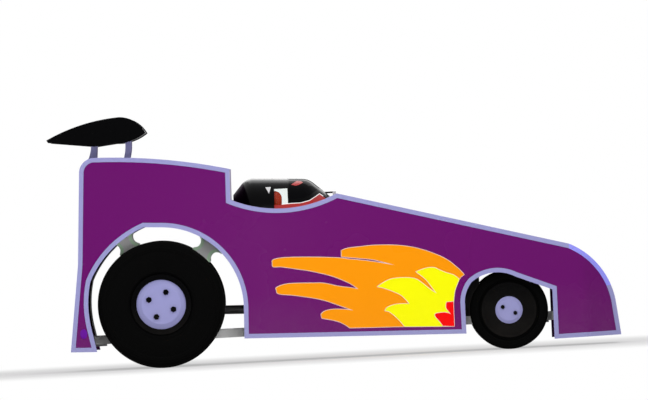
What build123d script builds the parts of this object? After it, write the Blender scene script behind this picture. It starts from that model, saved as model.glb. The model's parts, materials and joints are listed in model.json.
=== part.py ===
from build123d import *
import math
import os

# Streamlined drag racing car with a wing on struts, lengths in millimetres.
# +X is forward, +Z is up, the car's right side is -Y, and the floor is z = 0.
# The origin is on the floor, midway between the wing's trailing edge and the nose.

# Driving dimensions
wheelbase = 2500
tail_overhang = 764
nose_overhang = 800
rear_half_width = 912
nose_half_width = 705
side_lean_deg = 3.5
skin = 6
trim_width = 28
trim_proud = 4
trim_return = 12

rear_axle_x = -(tail_overhang + wheelbase + nose_overhang) / 2 + tail_overhang
front_axle_x = rear_axle_x + wheelbase
nose_x = front_axle_x + nose_overhang
plan_bend_x = rear_axle_x + 700
plan_bend_radius = 3000
nose_corner_x = front_axle_x + 560
nose_corner_radius = 240
nose_tip_half = 560
plan_run_past = 60
body_high = 1700

# Wheels: tyre radius, tyre half width, height of the axle is the tyre radius
rear_tyre_r = 457
rear_tyre_half = 215
rear_rim_r = 203
rear_wheel_inset = 62
rear_track_half = rear_half_width - rear_tyre_half - rear_wheel_inset
rear_arch_gap = 101
rear_arch_reach = 558
rear_spread = (rear_tyre_r + rear_arch_gap) / rear_arch_reach
front_tyre_r = 282
front_tyre_half = 57.5
front_rim_r = 190
front_wheel_inset = 57.5
front_track_half = nose_half_width - front_tyre_half - front_wheel_inset
front_liner_gap = 73
front_liner_r = front_tyre_r + front_liner_gap
front_arch_reach = 355
front_spread = front_liner_r / front_arch_reach
bearing_gap = 0.1

# Chassis rails, box section, as far out as the rear tyres and the hangers on the rails allow
rail_width = 50
hanger_thick = 12
bead_thick = 5
tyre_gap = 48
hanger_room = hanger_thick + bead_thick + tyre_gap
rail_y = rear_track_half - rear_tyre_half - hanger_room - rail_width / 2
rail_bottom = 190
rail_height = 60
rail_top = rail_bottom + rail_height
pan_thick = 4

# Stations along the car
liner = 3
bulkhead_gap = 5
tail_frame_x = rear_axle_x - 527 * rear_spread - liner - 2 * bulkhead_gap
quarter_split_x = rear_axle_x + 552 * rear_spread
rear_bulkhead_x = rear_axle_x + 598 * rear_spread + liner + bulkhead_gap
firewall_x = front_axle_x - 860
clip_split_x = front_axle_x - 130
nose_frame_x = front_axle_x + 372
rail_front_x = front_axle_x + 540
sheet = 4
hanger_y = rail_y + rail_width / 2

# Steering
kingpin_offset = 90
kingpin_y = front_track_half - kingpin_offset
front_liner_y = kingpin_y - 45
kingpin_r = 12
steer_arm = 110
track_rod_z = front_tyre_r + 28
track_rod_r = 11

# Canopy
canopy_axis_z = 960
canopy_wall = 12
canopy_gap = 5
hinge_x = rear_axle_x + 1288
hinge_z = 1194
hinge_r = 7

nose_band_low = 420
big = 2400


def R(x, z):
    """A point of the side view, measured from the rear axle."""
    return (rear_axle_x + x, z)


def F(x, z):
    """A point of the side view, measured from the front axle."""
    return (front_axle_x + x, z)


def side_face(*edges):
    """A face in the side view (X and Z) from edges drawn end to end in X and Y."""
    return Plane.XZ * make_face(Wire(list(edges)))


def arc(a, b, c):
    return ThreePointArc(a, b, c)


def line(a, b):
    return Line(a, b)


def grown(face, amount):
    return offset(face, amount, kind=Kind.INTERSECTION) if amount else face


def run_on(a, b, by=60):
    """Both ends of a line, carried on by a length at each end."""
    along = (Vector(b[0] - a[0], b[1] - a[1])).normalized() * by
    return (a[0] - along.X, a[1] - along.Y), (b[0] + along.X, b[1] + along.Y)


def chain(points):
    """Straight edges through a closed list of points."""
    return [Line(a, b) for a, b in zip(points, points[1:] + points[:1])]


def across(face, half=1200):
    """A side-view face extruded across the whole car."""
    return extrude(face, half, both=True)


def block(x0, x1, y0, y1, z0, z1):
    middle = Pos((x0 + x1) / 2, (y0 + y1) / 2, (z0 + z1) / 2)
    return middle * Box(abs(x1 - x0), abs(y1 - y0), abs(z1 - z0))


def rod_y(r, y0, y1, x, z):
    """A round bar across the car."""
    return Pos(x, (y0 + y1) / 2, z) * Rot(90, 0, 0) * Cylinder(r, abs(y1 - y0))


def rod_x(r, x0, x1, y, z):
    return Pos((x0 + x1) / 2, y, z) * Rot(0, 90, 0) * Cylinder(r, abs(x1 - x0))


def rod_z(r, z0, z1, x, y):
    return Pos(x, y, (z0 + z1) / 2) * Cylinder(r, abs(z1 - z0))


def tube_between(a, b, r):
    """A straight round bar between two points."""
    a, b = Vector(*a), Vector(*b)
    return extrude(Plane(origin=a, z_dir=b - a) * Circle(r), (b - a).length)


def both_sides(shape):
    """The shape and its mirror image on the other side of the car."""
    return [shape, mirror(shape, about=Plane.XZ)]


# Outline of the body's side, from the tail's foot over the top to the nose
tail_foot = R(-662, 152)
tail_knee = R(-578, 774)
tail_top = R(-535, 1440)
deck_rear = R(-425, 1533)
deck_mid = R(56, 1496)
step_top = R(540, 1402)
step_foot = R(534, 1180)
dip_low = R(925, 1097)
crest = R(1304, 1184)
dip_past = R(1450, 1270.1)
sky = 1700
nose_top = F(456, 732)
nose_mid = F(655, 575)
nose_knee = F(768, 315)
nose_foot = (nose_x - trim_proud, 66)
under = -60
cut_under = -200


def silhouette(amount=0):
    """The side's outline as a face, drawn anew and moved outwards by amount."""
    low_nose = (nose_foot[0], under)
    low_tail = (tail_foot[0], under)
    hull = side_face(
        line(tail_foot, tail_knee), line(tail_knee, tail_top), arc(tail_top, R(-505, 1502), deck_rear),
        arc(deck_rear, deck_mid, step_top), line(step_top, crest), line(crest, nose_top),
        arc(nose_top, nose_mid, nose_knee), line(nose_knee, nose_foot), line(nose_foot, low_nose),
        line(low_nose, low_tail), line(low_tail, tail_foot),
    )
    step_up = run_on(step_foot, step_top, sky - step_top[1])[1]
    over_cockpit = side_face(
        arc(step_foot, dip_low, dip_past), line(dip_past, (dip_past[0], sky)),
        line((dip_past[0], sky), step_up), line(step_up, step_foot),
    )
    return grown(hull, amount) - grown(over_cockpit, -amount)


# Openings of the side: the wheel arches and the space under the sills


def rear_rim(x, z):
    """A point of the rear arch, given from the hub and spread out with the tyre."""
    return (rear_axle_x + x * rear_spread, rear_tyre_r + z * rear_spread)


def front_rim(x, z):
    """A point of the front arch, given from the hub and spread out with the tyre."""
    return (front_axle_x + x * front_spread, front_tyre_r + z * front_spread)


sill_rear_z = 185
sill_front_z = 133
nose_rear_z = 61
tail_floor_z = 145
rear_foot = (rear_rim(590, 0)[0], sill_rear_z)
rear_back_foot = (rear_rim(-482, 0)[0], tail_floor_z)
front_back_foot = (front_rim(-320, 0)[0], sill_front_z)
front_foot = (front_rim(320, 0)[0], nose_rear_z)
rear_arch_face = side_face(
    line(rear_foot, rear_rim(598, -37)),
    arc(rear_rim(598, -37), rear_rim(447, 361), rear_rim(45, 558)),
    line(rear_rim(45, 558), rear_rim(-95, 566)),
    arc(rear_rim(-95, 566), rear_rim(-335, 420), rear_rim(-503, 194)),
    arc(rear_rim(-503, 194), rear_rim(-527, 33), rear_rim(-517, -127)),
    line(rear_rim(-517, -127), rear_back_foot),
    line(rear_back_foot, (rear_back_foot[0], cut_under)),
    line((rear_back_foot[0], cut_under), (rear_foot[0], cut_under)),
    line((rear_foot[0], cut_under), rear_foot),
)
front_arch_face = side_face(
    line(front_foot, front_rim(323, 134)),
    line(front_rim(323, 134), front_rim(60, 242)),
    arc(front_rim(60, 242), front_rim(-115, 278), front_rim(-262, 218)),
    arc(front_rim(-262, 218), front_rim(-306, 143), front_rim(-320, 48)),
    line(front_rim(-320, 48), front_back_foot),
    line(front_back_foot, (front_back_foot[0], cut_under)),
    line((front_back_foot[0], cut_under), (front_foot[0], cut_under)),
    line((front_foot[0], cut_under), front_foot),
)


def below(a, b):
    """The space under a line of the side view."""
    a, b = run_on(a, b)
    return side_face(*chain([a, b, (b[0], cut_under), (a[0], cut_under)]))


sill_face = below(rear_foot, front_back_foot)
nose_floor_face = below(front_foot, nose_foot)
tail_floor_face = below(tail_foot, rear_back_foot)
side_cuts = [rear_arch_face, front_arch_face, sill_face, nose_floor_face, tail_floor_face]


def side_panel_face(amount):
    """The side's outline moved outwards by amount, its arches and sills with it."""
    face = silhouette(amount)
    for cut in side_cuts:
        face -= grown(cut, -amount)
    return face


def plan_outline(grow):
    """The body seen from above at the floor, moved outwards by grow."""
    half = [
        (rear_axle_x - tail_overhang, rear_half_width),
        (plan_bend_x, rear_half_width),
        (nose_corner_x, nose_half_width),
        (nose_x + plan_run_past, nose_tip_half),
    ]
    points = half + [(x, -y) for x, y in half[::-1]]
    outline = make_face(Polyline(points[::-1], close=True))
    for index, radius in ((1, plan_bend_radius), (2, nose_corner_radius)):
        x, y = half[index]
        corners = [v for v in outline.vertices() if abs(v.X - x) < 1 and abs(abs(v.Y) - y) < 1]
        outline = fillet(corners, radius)
    return offset(outline, grow, kind=Kind.INTERSECTION) if grow else outline


def plan_solid(grow):
    """The body's side walls leaning inwards, as a solid moved outwards by grow."""
    return extrude(plan_outline(grow), body_high, taper=side_lean_deg)


def keep(shape, x0=-big, x1=big, y0=-big, y1=big, z0=-big, z1=big):
    """The part of a shape inside a box."""
    return shape & block(x0, x1, y0, y1, z0, z1)


outer_solid = plan_solid(0)
inner_solid = plan_solid(-skin)
inside_face = silhouette(-skin)
body_across = across(silhouette())
body_inside = across(inside_face) & inner_solid

parts = {}


def pack(*shapes):
    """Separate solids that belong to one piece."""
    return Compound(children=[solid for shape in shapes for solid in shape.solids()])


# Outer skin: side walls in three lengths, and the sheets of the top between them
walls = (outer_solid - inner_solid) & across(side_panel_face(0))
parts["rear_quarters"] = pack(keep(walls, x1=quarter_split_x))
parts["side_panels"] = pack(keep(walls, x0=quarter_split_x, x1=clip_split_x))
parts["nose_sides"] = pack(keep(walls, x0=clip_split_x))
tail_line_x = rear_axle_x - 500
deck_end_x = step_top[0]
roof = keep((body_across - across(inside_face)) & inner_solid, z0=nose_foot[1])
roof -= block(-big, tail_frame_x + 100, -big, big, 0, tail_foot[1])
tail_panel = keep(roof, x1=tail_line_x, z1=tail_top[1])
rear_deck = keep(roof, x1=deck_end_x + skin, z0=step_foot[1]) - tail_panel
hood = keep(roof, x0=crest[0], x1=clip_split_x)
nose_cover = keep(roof, x0=clip_split_x)
cockpit_deck = keep(roof, x0=step_foot[0] - 2 * skin, x1=crest[0], z1=step_top[1]) - rear_deck

# Mouldings: an angle round each side's outline, with the nose's upper run as its own piece
proud_solid = plan_solid(trim_proud)
trim_face = side_panel_face(trim_proud)
leg = (proud_solid - outer_solid) & across(trim_face - side_panel_face(-trim_width))
lip = (proud_solid - plan_solid(-trim_return)) & across(trim_face - side_panel_face(0))
moulding = leg + lip
band_box = block(nose_top[0], big, -big, big, nose_band_low, big)
parts["nose_band"] = pack(moulding & band_box)
parts["edge_trims"] = pack(moulding - band_box)

# Propeller shaft's line, falling forward from the axle's pinion to the engine
engine_rear_x = firewall_x + 100
engine_front_x = engine_rear_x + 560
engine_half = rail_y - 50
engine_low = 235
engine_high = 800
shaft_r = 32
pinion = (rear_axle_x, 0, 405)
crank = (engine_rear_x, 0, 345)
shaft_slope = (crank[2] - pinion[2]) / (crank[0] - pinion[0])


def shaft_point(x):
    return (x, 0, pinion[2] + shaft_slope * (x - pinion[0]))


# Ladder chassis
beam_width = 50
wall = 3
rack_x = front_axle_x - steer_arm
cross_x = [rear_axle_x - 440, rear_axle_x + 480, rack_x, front_axle_x + 230, front_axle_x + 500]
inner_rail_y = rail_y - rail_width / 2
bore_low = rail_bottom + wall
bore_high = rail_top - wall
rail = block(tail_frame_x + sheet, rail_front_x, inner_rail_y, hanger_y, rail_bottom, rail_top)
rail -= block(tail_frame_x, big, inner_rail_y + wall, hanger_y - wall, bore_low, bore_high)
ladder = rail + mirror(rail, about=Plane.XZ)
for x in cross_x:
    x0, x1 = x - beam_width / 2, x + beam_width / 2
    beam = block(x0, x1, -inner_rail_y, inner_rail_y, rail_bottom, rail_top)
    ladder += beam - block(x0 + wall, x1 - wall, -big, big, bore_low, bore_high)
parts["chassis_rails"] = ladder
rail_space = block(-big, rail_front_x, -hanger_y, hanger_y, rail_bottom, rail_top)
rail_space -= block(-big, big, -inner_rail_y, inner_rail_y, 0, big)

# Floor, bulkheads and the driver's tub
pan_front_x = front_axle_x - front_liner_r - liner
nose_pan_z = nose_foot[1]
pan_low = rail_bottom - pan_thick
floor_pan = keep(inner_solid, rear_bulkhead_x, pan_front_x, z0=pan_low, z1=rail_bottom)
nose_pan = keep(body_inside, x0=nose_frame_x + sheet, z0=nose_pan_z, z1=nose_pan_z + pan_thick)
parts["floor_pans"] = pack(floor_pan, nose_pan)
shaft_gap = 18
shaft_hole = tube_between(pinion, crank, shaft_r + shaft_gap)
bulkheads = []
bulkhead_lows = {
    tail_frame_x: rail_bottom,
    rear_bulkhead_x: rail_bottom,
    firewall_x: rail_bottom,
    nose_frame_x: nose_pan_z,
}
for x, low in bulkhead_lows.items():
    plate = keep(body_inside, x, x + sheet, z0=low) - rail_space
    bulkheads.append(plate - shaft_hole)
parts["bulkheads"] = pack(*bulkheads)
tunnel_half = 60
tunnel_top = 440
tub_half = rail_y
tub_x0 = rear_bulkhead_x + sheet
tunnel_out = tunnel_half + liner
tub_floor = tunnel_top + liner
tunnel = block(tub_x0, firewall_x, -tunnel_out, tunnel_out, rail_bottom, tub_floor)
tunnel -= block(-big, big, -tunnel_half, tunnel_half, 0, tunnel_top)
tub_side = keep(body_inside, tub_x0, firewall_x, tub_half - liner / 2, tub_half + liner / 2, rail_top)
parts["cockpit_panels"] = pack(tunnel, *both_sides(tub_side))

# Wheel arch liners: rear ones follow the arch's edge, front ones are drums over the tyre


def front_drum(radius):
    """The room of a front wheel: a drum over the axle, straight down below it."""
    low = block(front_axle_x - radius, front_axle_x + radius, -big, big, 0, front_tyre_r)
    return rod_y(radius, -big, big, front_axle_x, front_tyre_r) + low


rear_liner = across(grown(rear_arch_face, liner) - rear_arch_face) & inner_solid
rear_liner -= block(-big, big, -hanger_y, hanger_y, -big, big)
front_liner = (front_drum(front_liner_r + liner) - front_drum(front_liner_r)) & inner_solid
front_liner -= block(-big, big, -front_liner_y, front_liner_y, 0, big)
rear_liner = keep(rear_liner, z0=rail_bottom)
front_liner = keep(front_liner, z0=rail_bottom)
parts["arch_liners"] = pack(rear_liner, front_liner)

# Rear axle: tubes, centre casing, pinion nose and the wheels' spindles
axle_tube_r = 45
axle_tube_end = hanger_y + 45
casing_r = 130
spindle_r = 30
spindle_reach = 149
spindle_end = rear_track_half + spindle_reach
rear_hub = (rear_axle_x, rear_tyre_r)
casing_half = 80
casing_round = 30
pinion_nose = 220
pinion_r = shaft_r + 26
rear_axle = rod_y(axle_tube_r, -axle_tube_end, axle_tube_end, *rear_hub)
rear_axle += rod_y(spindle_r, -spindle_end, spindle_end, *rear_hub)
casing = rod_y(casing_r, -casing_half, casing_half, *rear_hub)
rear_axle += fillet(casing.edges().filter_by(GeomType.CIRCLE), casing_round)
pinion_end = rear_axle_x + pinion_nose
rear_axle += tube_between(pinion, shaft_point(pinion_end), pinion_r)
parts["rear_axle"] = rear_axle

# Axle hangers: a plate each side from the rail over the axle to the arch, with two waisted arms
arm_angles = {117.5: 88, 48: 106}
arm_root_half = 55
arm_waist_half = 79


def hanger_arm(angle, top_half):
    """An arm's outline from the axle to past the arch, waisted near its top."""
    waist = (464 * rear_spread, arm_waist_half)
    mid = (505 * rear_spread, 57)
    top = (552 * rear_spread, top_half)
    past = (620 * rear_spread, top_half + 30)
    flank = ThreePointArc(waist, mid, top)
    rest = [Line(top, past), Line(past, (past[0], 0)), Line((past[0], 0), (0, 0))]
    outline = [Line((0, arm_root_half), waist), flank, *rest, Line((0, 0), (0, arm_root_half))]
    half = make_face(Wire(outline))
    face = half + mirror(half, about=Plane.XZ)
    return Plane.XZ * Pos(*rear_hub) * Rot(0, 0, angle) * face


def plate_y(face, y0, y1):
    """A side-view face as a plate from y0 to y1."""
    return extrude(Pos(0, y0, 0) * face, y1 - y0, dir=(0, 1, 0))


bead_width = 24
bead_from_r = 300
hub_plate_r = 95
foot_half = 90
plate_face = side_face(*chain([
    R(-foot_half, rail_bottom), R(foot_half, rail_bottom), R(60, rear_tyre_r), R(-60, rear_tyre_r),
]))
plate_face += Plane.XZ * Pos(*rear_hub) * Circle(hub_plate_r)
arms = [hanger_arm(angle, top_half) for angle, top_half in arm_angles.items()]
for arm in arms:
    plate_face += arm
hanger = plate_y(plate_face, hanger_y, hanger_y + hanger_thick) & across(rear_arch_face)
hanger -= rod_y(axle_tube_r, -big, big, *rear_hub)
parts["axle_hangers"] = pack(*both_sides(hanger))
bead_zone = across(rear_arch_face) - rod_y(bead_from_r, -big, big, *rear_hub)
beads = []
bead_y = hanger_y + hanger_thick
for arm in arms:
    strip = plate_y(arm - grown(arm, -bead_width), bead_y, bead_y + bead_thick)
    beads += both_sides(strip & bead_zone)
parts["hanger_edges"] = pack(*beads)

# Engine as one block on two plates
engine = block(engine_rear_x, engine_front_x, -engine_half, engine_half, engine_low, engine_high)
parts["engine_block"] = engine
parts["driveshaft"] = tube_between(shaft_point(pinion_end), crank, shaft_r) - engine
plate_t = 12
motor_plate_high = 230
motor_plates = []
for x in (engine_rear_x - plate_t, engine_front_x):
    plate = block(x, x + plate_t, -hanger_y, hanger_y, rail_top, rail_top + motor_plate_high)
    motor_plates.append(plate - shaft_hole)
parts["motor_plates"] = pack(*motor_plates)

# Front beam axle with forked ends and kingpins
front_hub = (front_axle_x, front_tyre_r)
beam_r = 25
fork_half_x = 27
fork_in_y = kingpin_y - 60
fork_wall = 26
boss_half = 35
pin_gap = 1
ear_thick = 18
saddle_half = 30
ear_in = boss_half + pin_gap
ear_out = ear_in + ear_thick
ear_low = front_tyre_r - ear_out
ear_top = front_tyre_r + ear_out
fork_x0 = front_axle_x - fork_half_x
fork_x1 = front_axle_x + fork_half_x
fork = block(fork_x0, fork_x1, fork_in_y, kingpin_y + fork_half_x, ear_low, ear_top)
slot_in = fork_in_y + fork_wall
fork -= block(-big, big, slot_in, big, front_tyre_r - ear_in, front_tyre_r + ear_in)
fork += rod_z(kingpin_r, ear_low, ear_top, front_axle_x, kingpin_y)
saddle_x0 = front_axle_x - saddle_half
saddle_x1 = front_axle_x + saddle_half
fork += block(saddle_x0, saddle_x1, inner_rail_y, hanger_y, rail_top, front_tyre_r)
front_axle = rod_y(beam_r, -fork_in_y, fork_in_y, *front_hub) + fork
front_axle += mirror(fork, about=Plane.XZ)
parts["front_axle"] = front_axle

# Knuckles, drawn for the left and mirrored
boss_r = 27
stub_r = 17
stub_end = front_track_half + 21
arm_thick = 16
arm_half = 12
arm_eye_r = 14
arm_low = front_tyre_r - 1
arm_high = arm_low + arm_thick
pin_r = 7
pin_over = 14
boss_low = front_tyre_r - boss_half
boss_top = front_tyre_r + boss_half
knuckle = rod_z(boss_r, boss_low, boss_top, front_axle_x, kingpin_y)
knuckle += rod_y(stub_r, kingpin_y, stub_end, *front_hub)
knuckle += block(rack_x, front_axle_x, kingpin_y - arm_half, kingpin_y + arm_half, arm_low, arm_high)
knuckle += rod_z(arm_eye_r, arm_low, arm_high, rack_x, kingpin_y)
knuckle += rod_z(pin_r, arm_high, track_rod_z + pin_over, rack_x, kingpin_y)
knuckle -= rod_z(kingpin_r + bearing_gap, 0, big, front_axle_x, kingpin_y)
parts["knuckle_left"] = knuckle
parts["knuckle_right"] = mirror(knuckle, about=Plane.XZ)

# Track rod with an eye at each pin, sliding in a housing on the crossmember
eye_r = 22
eye_gap = 5
eye_hole_r = pin_r + eye_gap
eye_half = 7
rod_end = kingpin_y - eye_hole_r - 4
rack_half = 180
rack_wall = 11
rack_foot = 40
track_rod = rod_y(track_rod_r, -rod_end, rod_end, rack_x, track_rod_z)
for side in (1, -1):
    eye = rod_z(eye_r, track_rod_z - eye_half, track_rod_z + eye_half, rack_x, side * kingpin_y)
    track_rod += eye
    track_rod -= rod_z(eye_hole_r, 0, big, rack_x, side * kingpin_y)
parts["track_rod"] = track_rod
housing = rod_y(track_rod_r + rack_wall, -rack_half, rack_half, rack_x, track_rod_z)
foot_x0 = rack_x - rack_foot / 2
foot_x1 = rack_x + rack_foot / 2
foot = block(foot_x0, foot_x1, rack_half - 1.5 * rack_foot, rack_half - rack_foot / 2, rail_top, track_rod_z)
housing += foot
housing += mirror(foot, about=Plane.XZ)
parts["steering_rack"] = housing - rod_y(track_rod_r + bearing_gap, -big, big, rack_x, track_rod_z)


# Wheels, drawn about their own axle with y outwards
def ring(points):
    """A section given as radius and distance along the axle, turned about the axle."""
    return revolve(make_face(Polyline(*points, close=True)), Axis.Y)


def sleeve(radius, y0, y1, inner=0):
    """A plain ring or disc about the wheel's axle."""
    return ring([(inner, y0), (radius, y0), (radius, y1), (inner, y1)])


def slick(radius, half, rim_r, shoulder, bead):
    """A tyre: flat tread, rounded shoulders, bulging walls and narrower beads."""
    bulge_r = rim_r + 0.5 * (radius - rim_r)
    wall = [(rim_r + 18, bead), (rim_r + 30, half - 10), (bulge_r, half), (radius, half - 4)]
    half_section = [(rim_r, bead), *wall]
    points = [(r, -y) for r, y in half_section] + half_section[::-1]
    section = make_face(Polyline(*points, close=True))
    corners = [v for v in section.vertices() if v.X > radius - 1]
    return revolve(fillet(corners, shoulder), Axis.Y)


def wheel_set(name, hub, track, tyre, rim):
    """Tyre, rim and disc cover of one wheel, and the same mirrored."""
    x, z = hub
    place = Pos(x, track, z)
    for side in ("left", "right"):
        for piece, shape in (("tyre", tyre), ("rim", rim[0]), ("disc", rim[1])):
            solid = place * shape
            if side == "right":
                solid = mirror(solid, about=Plane.XZ)
            parts[f"{name}_{piece}_{side}"] = pack(solid)


cover_edge = 5
cover_round = 12
nut_sunk = 3


def rim_and_disc(spec):
    """Barrel with lips, web, hub boss, disc cover and the nuts on it."""
    r, bead, lip = spec["rim_r"], spec["bead"], spec["lip_high"]
    lip_r = r + lip
    flange = spec["flange"]
    body = sleeve(r, -bead - flange, bead + flange, r - spec["barrel"])
    for y in (-bead - flange, bead):
        body += sleeve(lip_r, y, y + flange, r - spec["barrel"])
    web0, web1 = spec["web"]
    boss_in = spec["boss_in"]
    body += sleeve(r - 2, web0, web1) + sleeve(spec["boss_r"], boss_in, web1)
    body -= sleeve(spec["stub_r"], boss_in - 1, spec["bore_end"])
    top = web1 + spec["dome"]
    crown = top - nut_sunk
    cover = make_face(Polyline(
        (0, web1), (spec["disc_r"], web1), (spec["disc_r"], web1 + cover_edge),
        (spec["flat_r"], crown), (0, crown), close=True,
    ))
    corner = [v for v in cover.vertices() if abs(v.X - spec["flat_r"]) < 0.1]
    disc = revolve(fillet(corner, cover_round), Axis.Y)
    nuts = []
    for index in range(spec["nuts"]):
        angle = spec["nut_turn"] + 360 / spec["nuts"] * index
        nut = extrude(RegularPolygon(spec["nut_r"], 6), spec["nut_high"])
        nuts.append(Rot(0, angle, 0) * Pos(spec["nut_circle"] / 2, crown, 0) * Rot(-90, 0, 0) * nut)
    return pack(body, *nuts), disc


rear_bead = 184
rear_shoulder = 40
rear_spec = {
    "rim_r": rear_rim_r, "bead": rear_bead, "barrel": 13, "lip_high": 14, "flange": 8, "web": (150, 166),
    "boss_r": 70, "boss_in": -40, "stub_r": spindle_r + bearing_gap, "bore_end": spindle_reach + 1,
    "disc_r": 178, "flat_r": 140, "dome": 30,
    "nuts": 4, "nut_turn": 24, "nut_r": 22, "nut_high": 16, "nut_circle": 190,
}
front_bead = 44
front_shoulder = 18
front_spec = {
    "rim_r": front_rim_r, "bead": front_bead, "barrel": 10, "lip_high": 8, "flange": 8, "web": (20, 32),
    "boss_r": 45, "boss_in": -30, "stub_r": stub_r + bearing_gap, "bore_end": 22,
    "disc_r": 98, "flat_r": 76, "dome": 20,
    "nuts": 2, "nut_turn": 28, "nut_r": 16, "nut_high": 12, "nut_circle": 100,
}
rear_slick = slick(rear_tyre_r, rear_tyre_half, rear_rim_r, rear_shoulder, rear_bead)
front_slick = slick(front_tyre_r, front_tyre_half, front_rim_r, front_shoulder, front_bead)
wheel_set("rear", rear_hub, rear_track_half, rear_slick, rim_and_disc(rear_spec))
wheel_set("front", front_hub, front_track_half, front_slick, rim_and_disc(front_spec))

# Wing: one section across, an end plate each side and four legs to the deck
wing_half = 715
end_plate_thick = 10
end_plate_proud = 7
wing_section = side_face(
    arc(R(-754, 1678), R(-514, 1770), R(-233, 1814)),
    arc(R(-233, 1814), R(-110, 1768), R(-56, 1701)),
    arc(R(-56, 1701), R(-140, 1657), R(-269, 1641)),
    line(R(-269, 1641), R(-421, 1625)),
    line(R(-421, 1625), R(-748, 1668)),
    line(R(-748, 1668), R(-754, 1678)),
)
wing = across(wing_section, wing_half)
end_plate = plate_y(grown(wing_section, end_plate_proud), wing_half, wing_half + end_plate_thick)
parts["wing"] = pack(wing + end_plate + mirror(end_plate, about=Plane.XZ))
strut_y = 350
strut_thick = 24
strut_faces = [
    side_face(
        arc(R(-492, 1498), R(-460, 1565), R(-448, 1650)), line(R(-448, 1650), R(-408, 1650)),
        arc(R(-408, 1650), R(-412, 1580), R(-424, 1480)), line(R(-424, 1480), R(-492, 1498)),
    ),
    side_face(
        arc(R(-234, 1480), R(-204, 1580), R(-203, 1670)), line(R(-203, 1670), R(-162, 1670)),
        arc(R(-162, 1670), R(-163, 1580), R(-193, 1480)), line(R(-193, 1480), R(-234, 1480)),
    ),
]
struts = []
for face in strut_faces:
    leg = plate_y(face, strut_y - strut_thick / 2, strut_y + strut_thick / 2) - body_across - wing
    struts += both_sides(leg)
parts["wing_struts"] = pack(*struts)

# Canopy: a teardrop turned about a line along the car, cut where it meets the deck and the sill
canopy_rear_x = rear_axle_x + 556
window_x0 = rear_axle_x + 853
window_x1 = rear_axle_x + 950
pane_x0 = rear_axle_x + 962
pane_x1 = rear_axle_x + 1225
window_top = 1246
spine_half = 20
frame_strip = 34
glass_depth = 3


def teardrop(shrink):
    """The canopy's full form, taken in by shrink."""
    crown = [R(495, 1145), R(655, 1331), R(1105, 1304), R(1292, 1140)]
    over = [(x, z - canopy_axis_z) for x, z in crown]
    section = make_face(Polyline((crown[0][0], 0), *over, (crown[-1][0], 0), close=True))
    for (x, high), radius in ((over[1], 110), (over[2], 130)):
        corner = [v for v in section.vertices() if abs(v.X - x) < 1 and abs(v.Y - high) < 1]
        section = fillet(corner, radius)
    section = offset(section, -shrink, kind=Kind.INTERSECTION) if shrink else section
    section &= Pos(0, big / 2) * Rectangle(4 * big, big)
    return Pos(0, 0, canopy_axis_z) * revolve(Plane.XZ * section, Axis.X)


sill_low = dip_low[1] - 40
sill_side_face = side_face(*chain([
    (window_x0, sill_low), (window_x0, 1126), R(975, 1131), R(1042, 1131), R(1107, 1145),
    R(1148, 1169), R(1181, 1190), R(1232, 1150), R(1262, sill_low),
]))
canopy_form = teardrop(0)
canopy_room = teardrop(canopy_wall)
fixed_below = across(silhouette(canopy_gap)) + across(grown(sill_side_face, canopy_gap))
strip_below = across(silhouette(frame_strip)) + across(grown(sill_side_face, frame_strip))
shell = keep(canopy_form - canopy_room, x0=canopy_rear_x) - fixed_below
window_zone = block(window_x0, window_x1, -big, big, 0, window_top)
pane_zone = block(pane_x0, pane_x1, -big, big, 0, big) - strip_below
pane_zone -= block(-big, big, -spine_half, spine_half, 0, big)
pane_form = teardrop(glass_depth) - teardrop(canopy_wall - glass_depth)
pane_shell = keep(pane_form, x0=canopy_rear_x) - fixed_below
parts["canopy_glass"] = pack(pane_shell & pane_zone)
parts["side_windows"] = pack(pane_shell & window_zone)

# Canopy hinge: a lug on the frame between two ears on the deck
lug_half = 14
lug_r = 10
lug_reach = 86
ear_gap = 6
ear_width = 8
ear_half_x = 12
hinge_half = lug_half + ear_gap + ear_width
lug = rod_y(lug_r, -lug_half, lug_half, hinge_x, hinge_z)
lug += block(hinge_x - lug_reach, hinge_x, -lug_half, lug_half, hinge_z - 2, hinge_z + lug_r)
lug -= canopy_room
lug -= rod_y(hinge_r + bearing_gap, -big, big, hinge_x, hinge_z)
parts["canopy_frame"] = (shell - window_zone - pane_zone) + lug
hinge_pin = rod_y(hinge_r, -hinge_half, hinge_half, hinge_x, hinge_z)
ear_foot = crest[1] - 60
plate_in = lug_half + ear_gap
hinge_top = hinge_z + lug_r
hinge_plate = block(hinge_x - ear_half_x, hinge_x + ear_half_x, plate_in, hinge_half, ear_foot, hinge_top)
hinge_plate -= body_across
parts["canopy_hinge"] = hinge_pin + hinge_plate + mirror(hinge_plate, about=Plane.XZ)

# Cockpit opening in the deck, with its sill: low behind, raised to the canopy's edge in front
opening_shrink = 42
rim_outer_shrink = 22
rim_high = 26
opening_x0 = rear_bulkhead_x + 30
opening_form = teardrop(opening_shrink)
parts["tail_panel"] = tail_panel
parts["rear_deck"] = rear_deck
parts["hood"] = hood
parts["nose_cover"] = nose_cover
parts["cockpit_deck"] = cockpit_deck - keep(opening_form, opening_x0)
inner_sill = (teardrop(rim_outer_shrink) - opening_form) & across(silhouette(rim_high))
side_sill = (canopy_form - opening_form) & across(sill_side_face)
cockpit_sill = keep(inner_sill + side_sill, opening_x0) - body_across
parts["cockpit_rim"] = pack(cockpit_sill)

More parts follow.
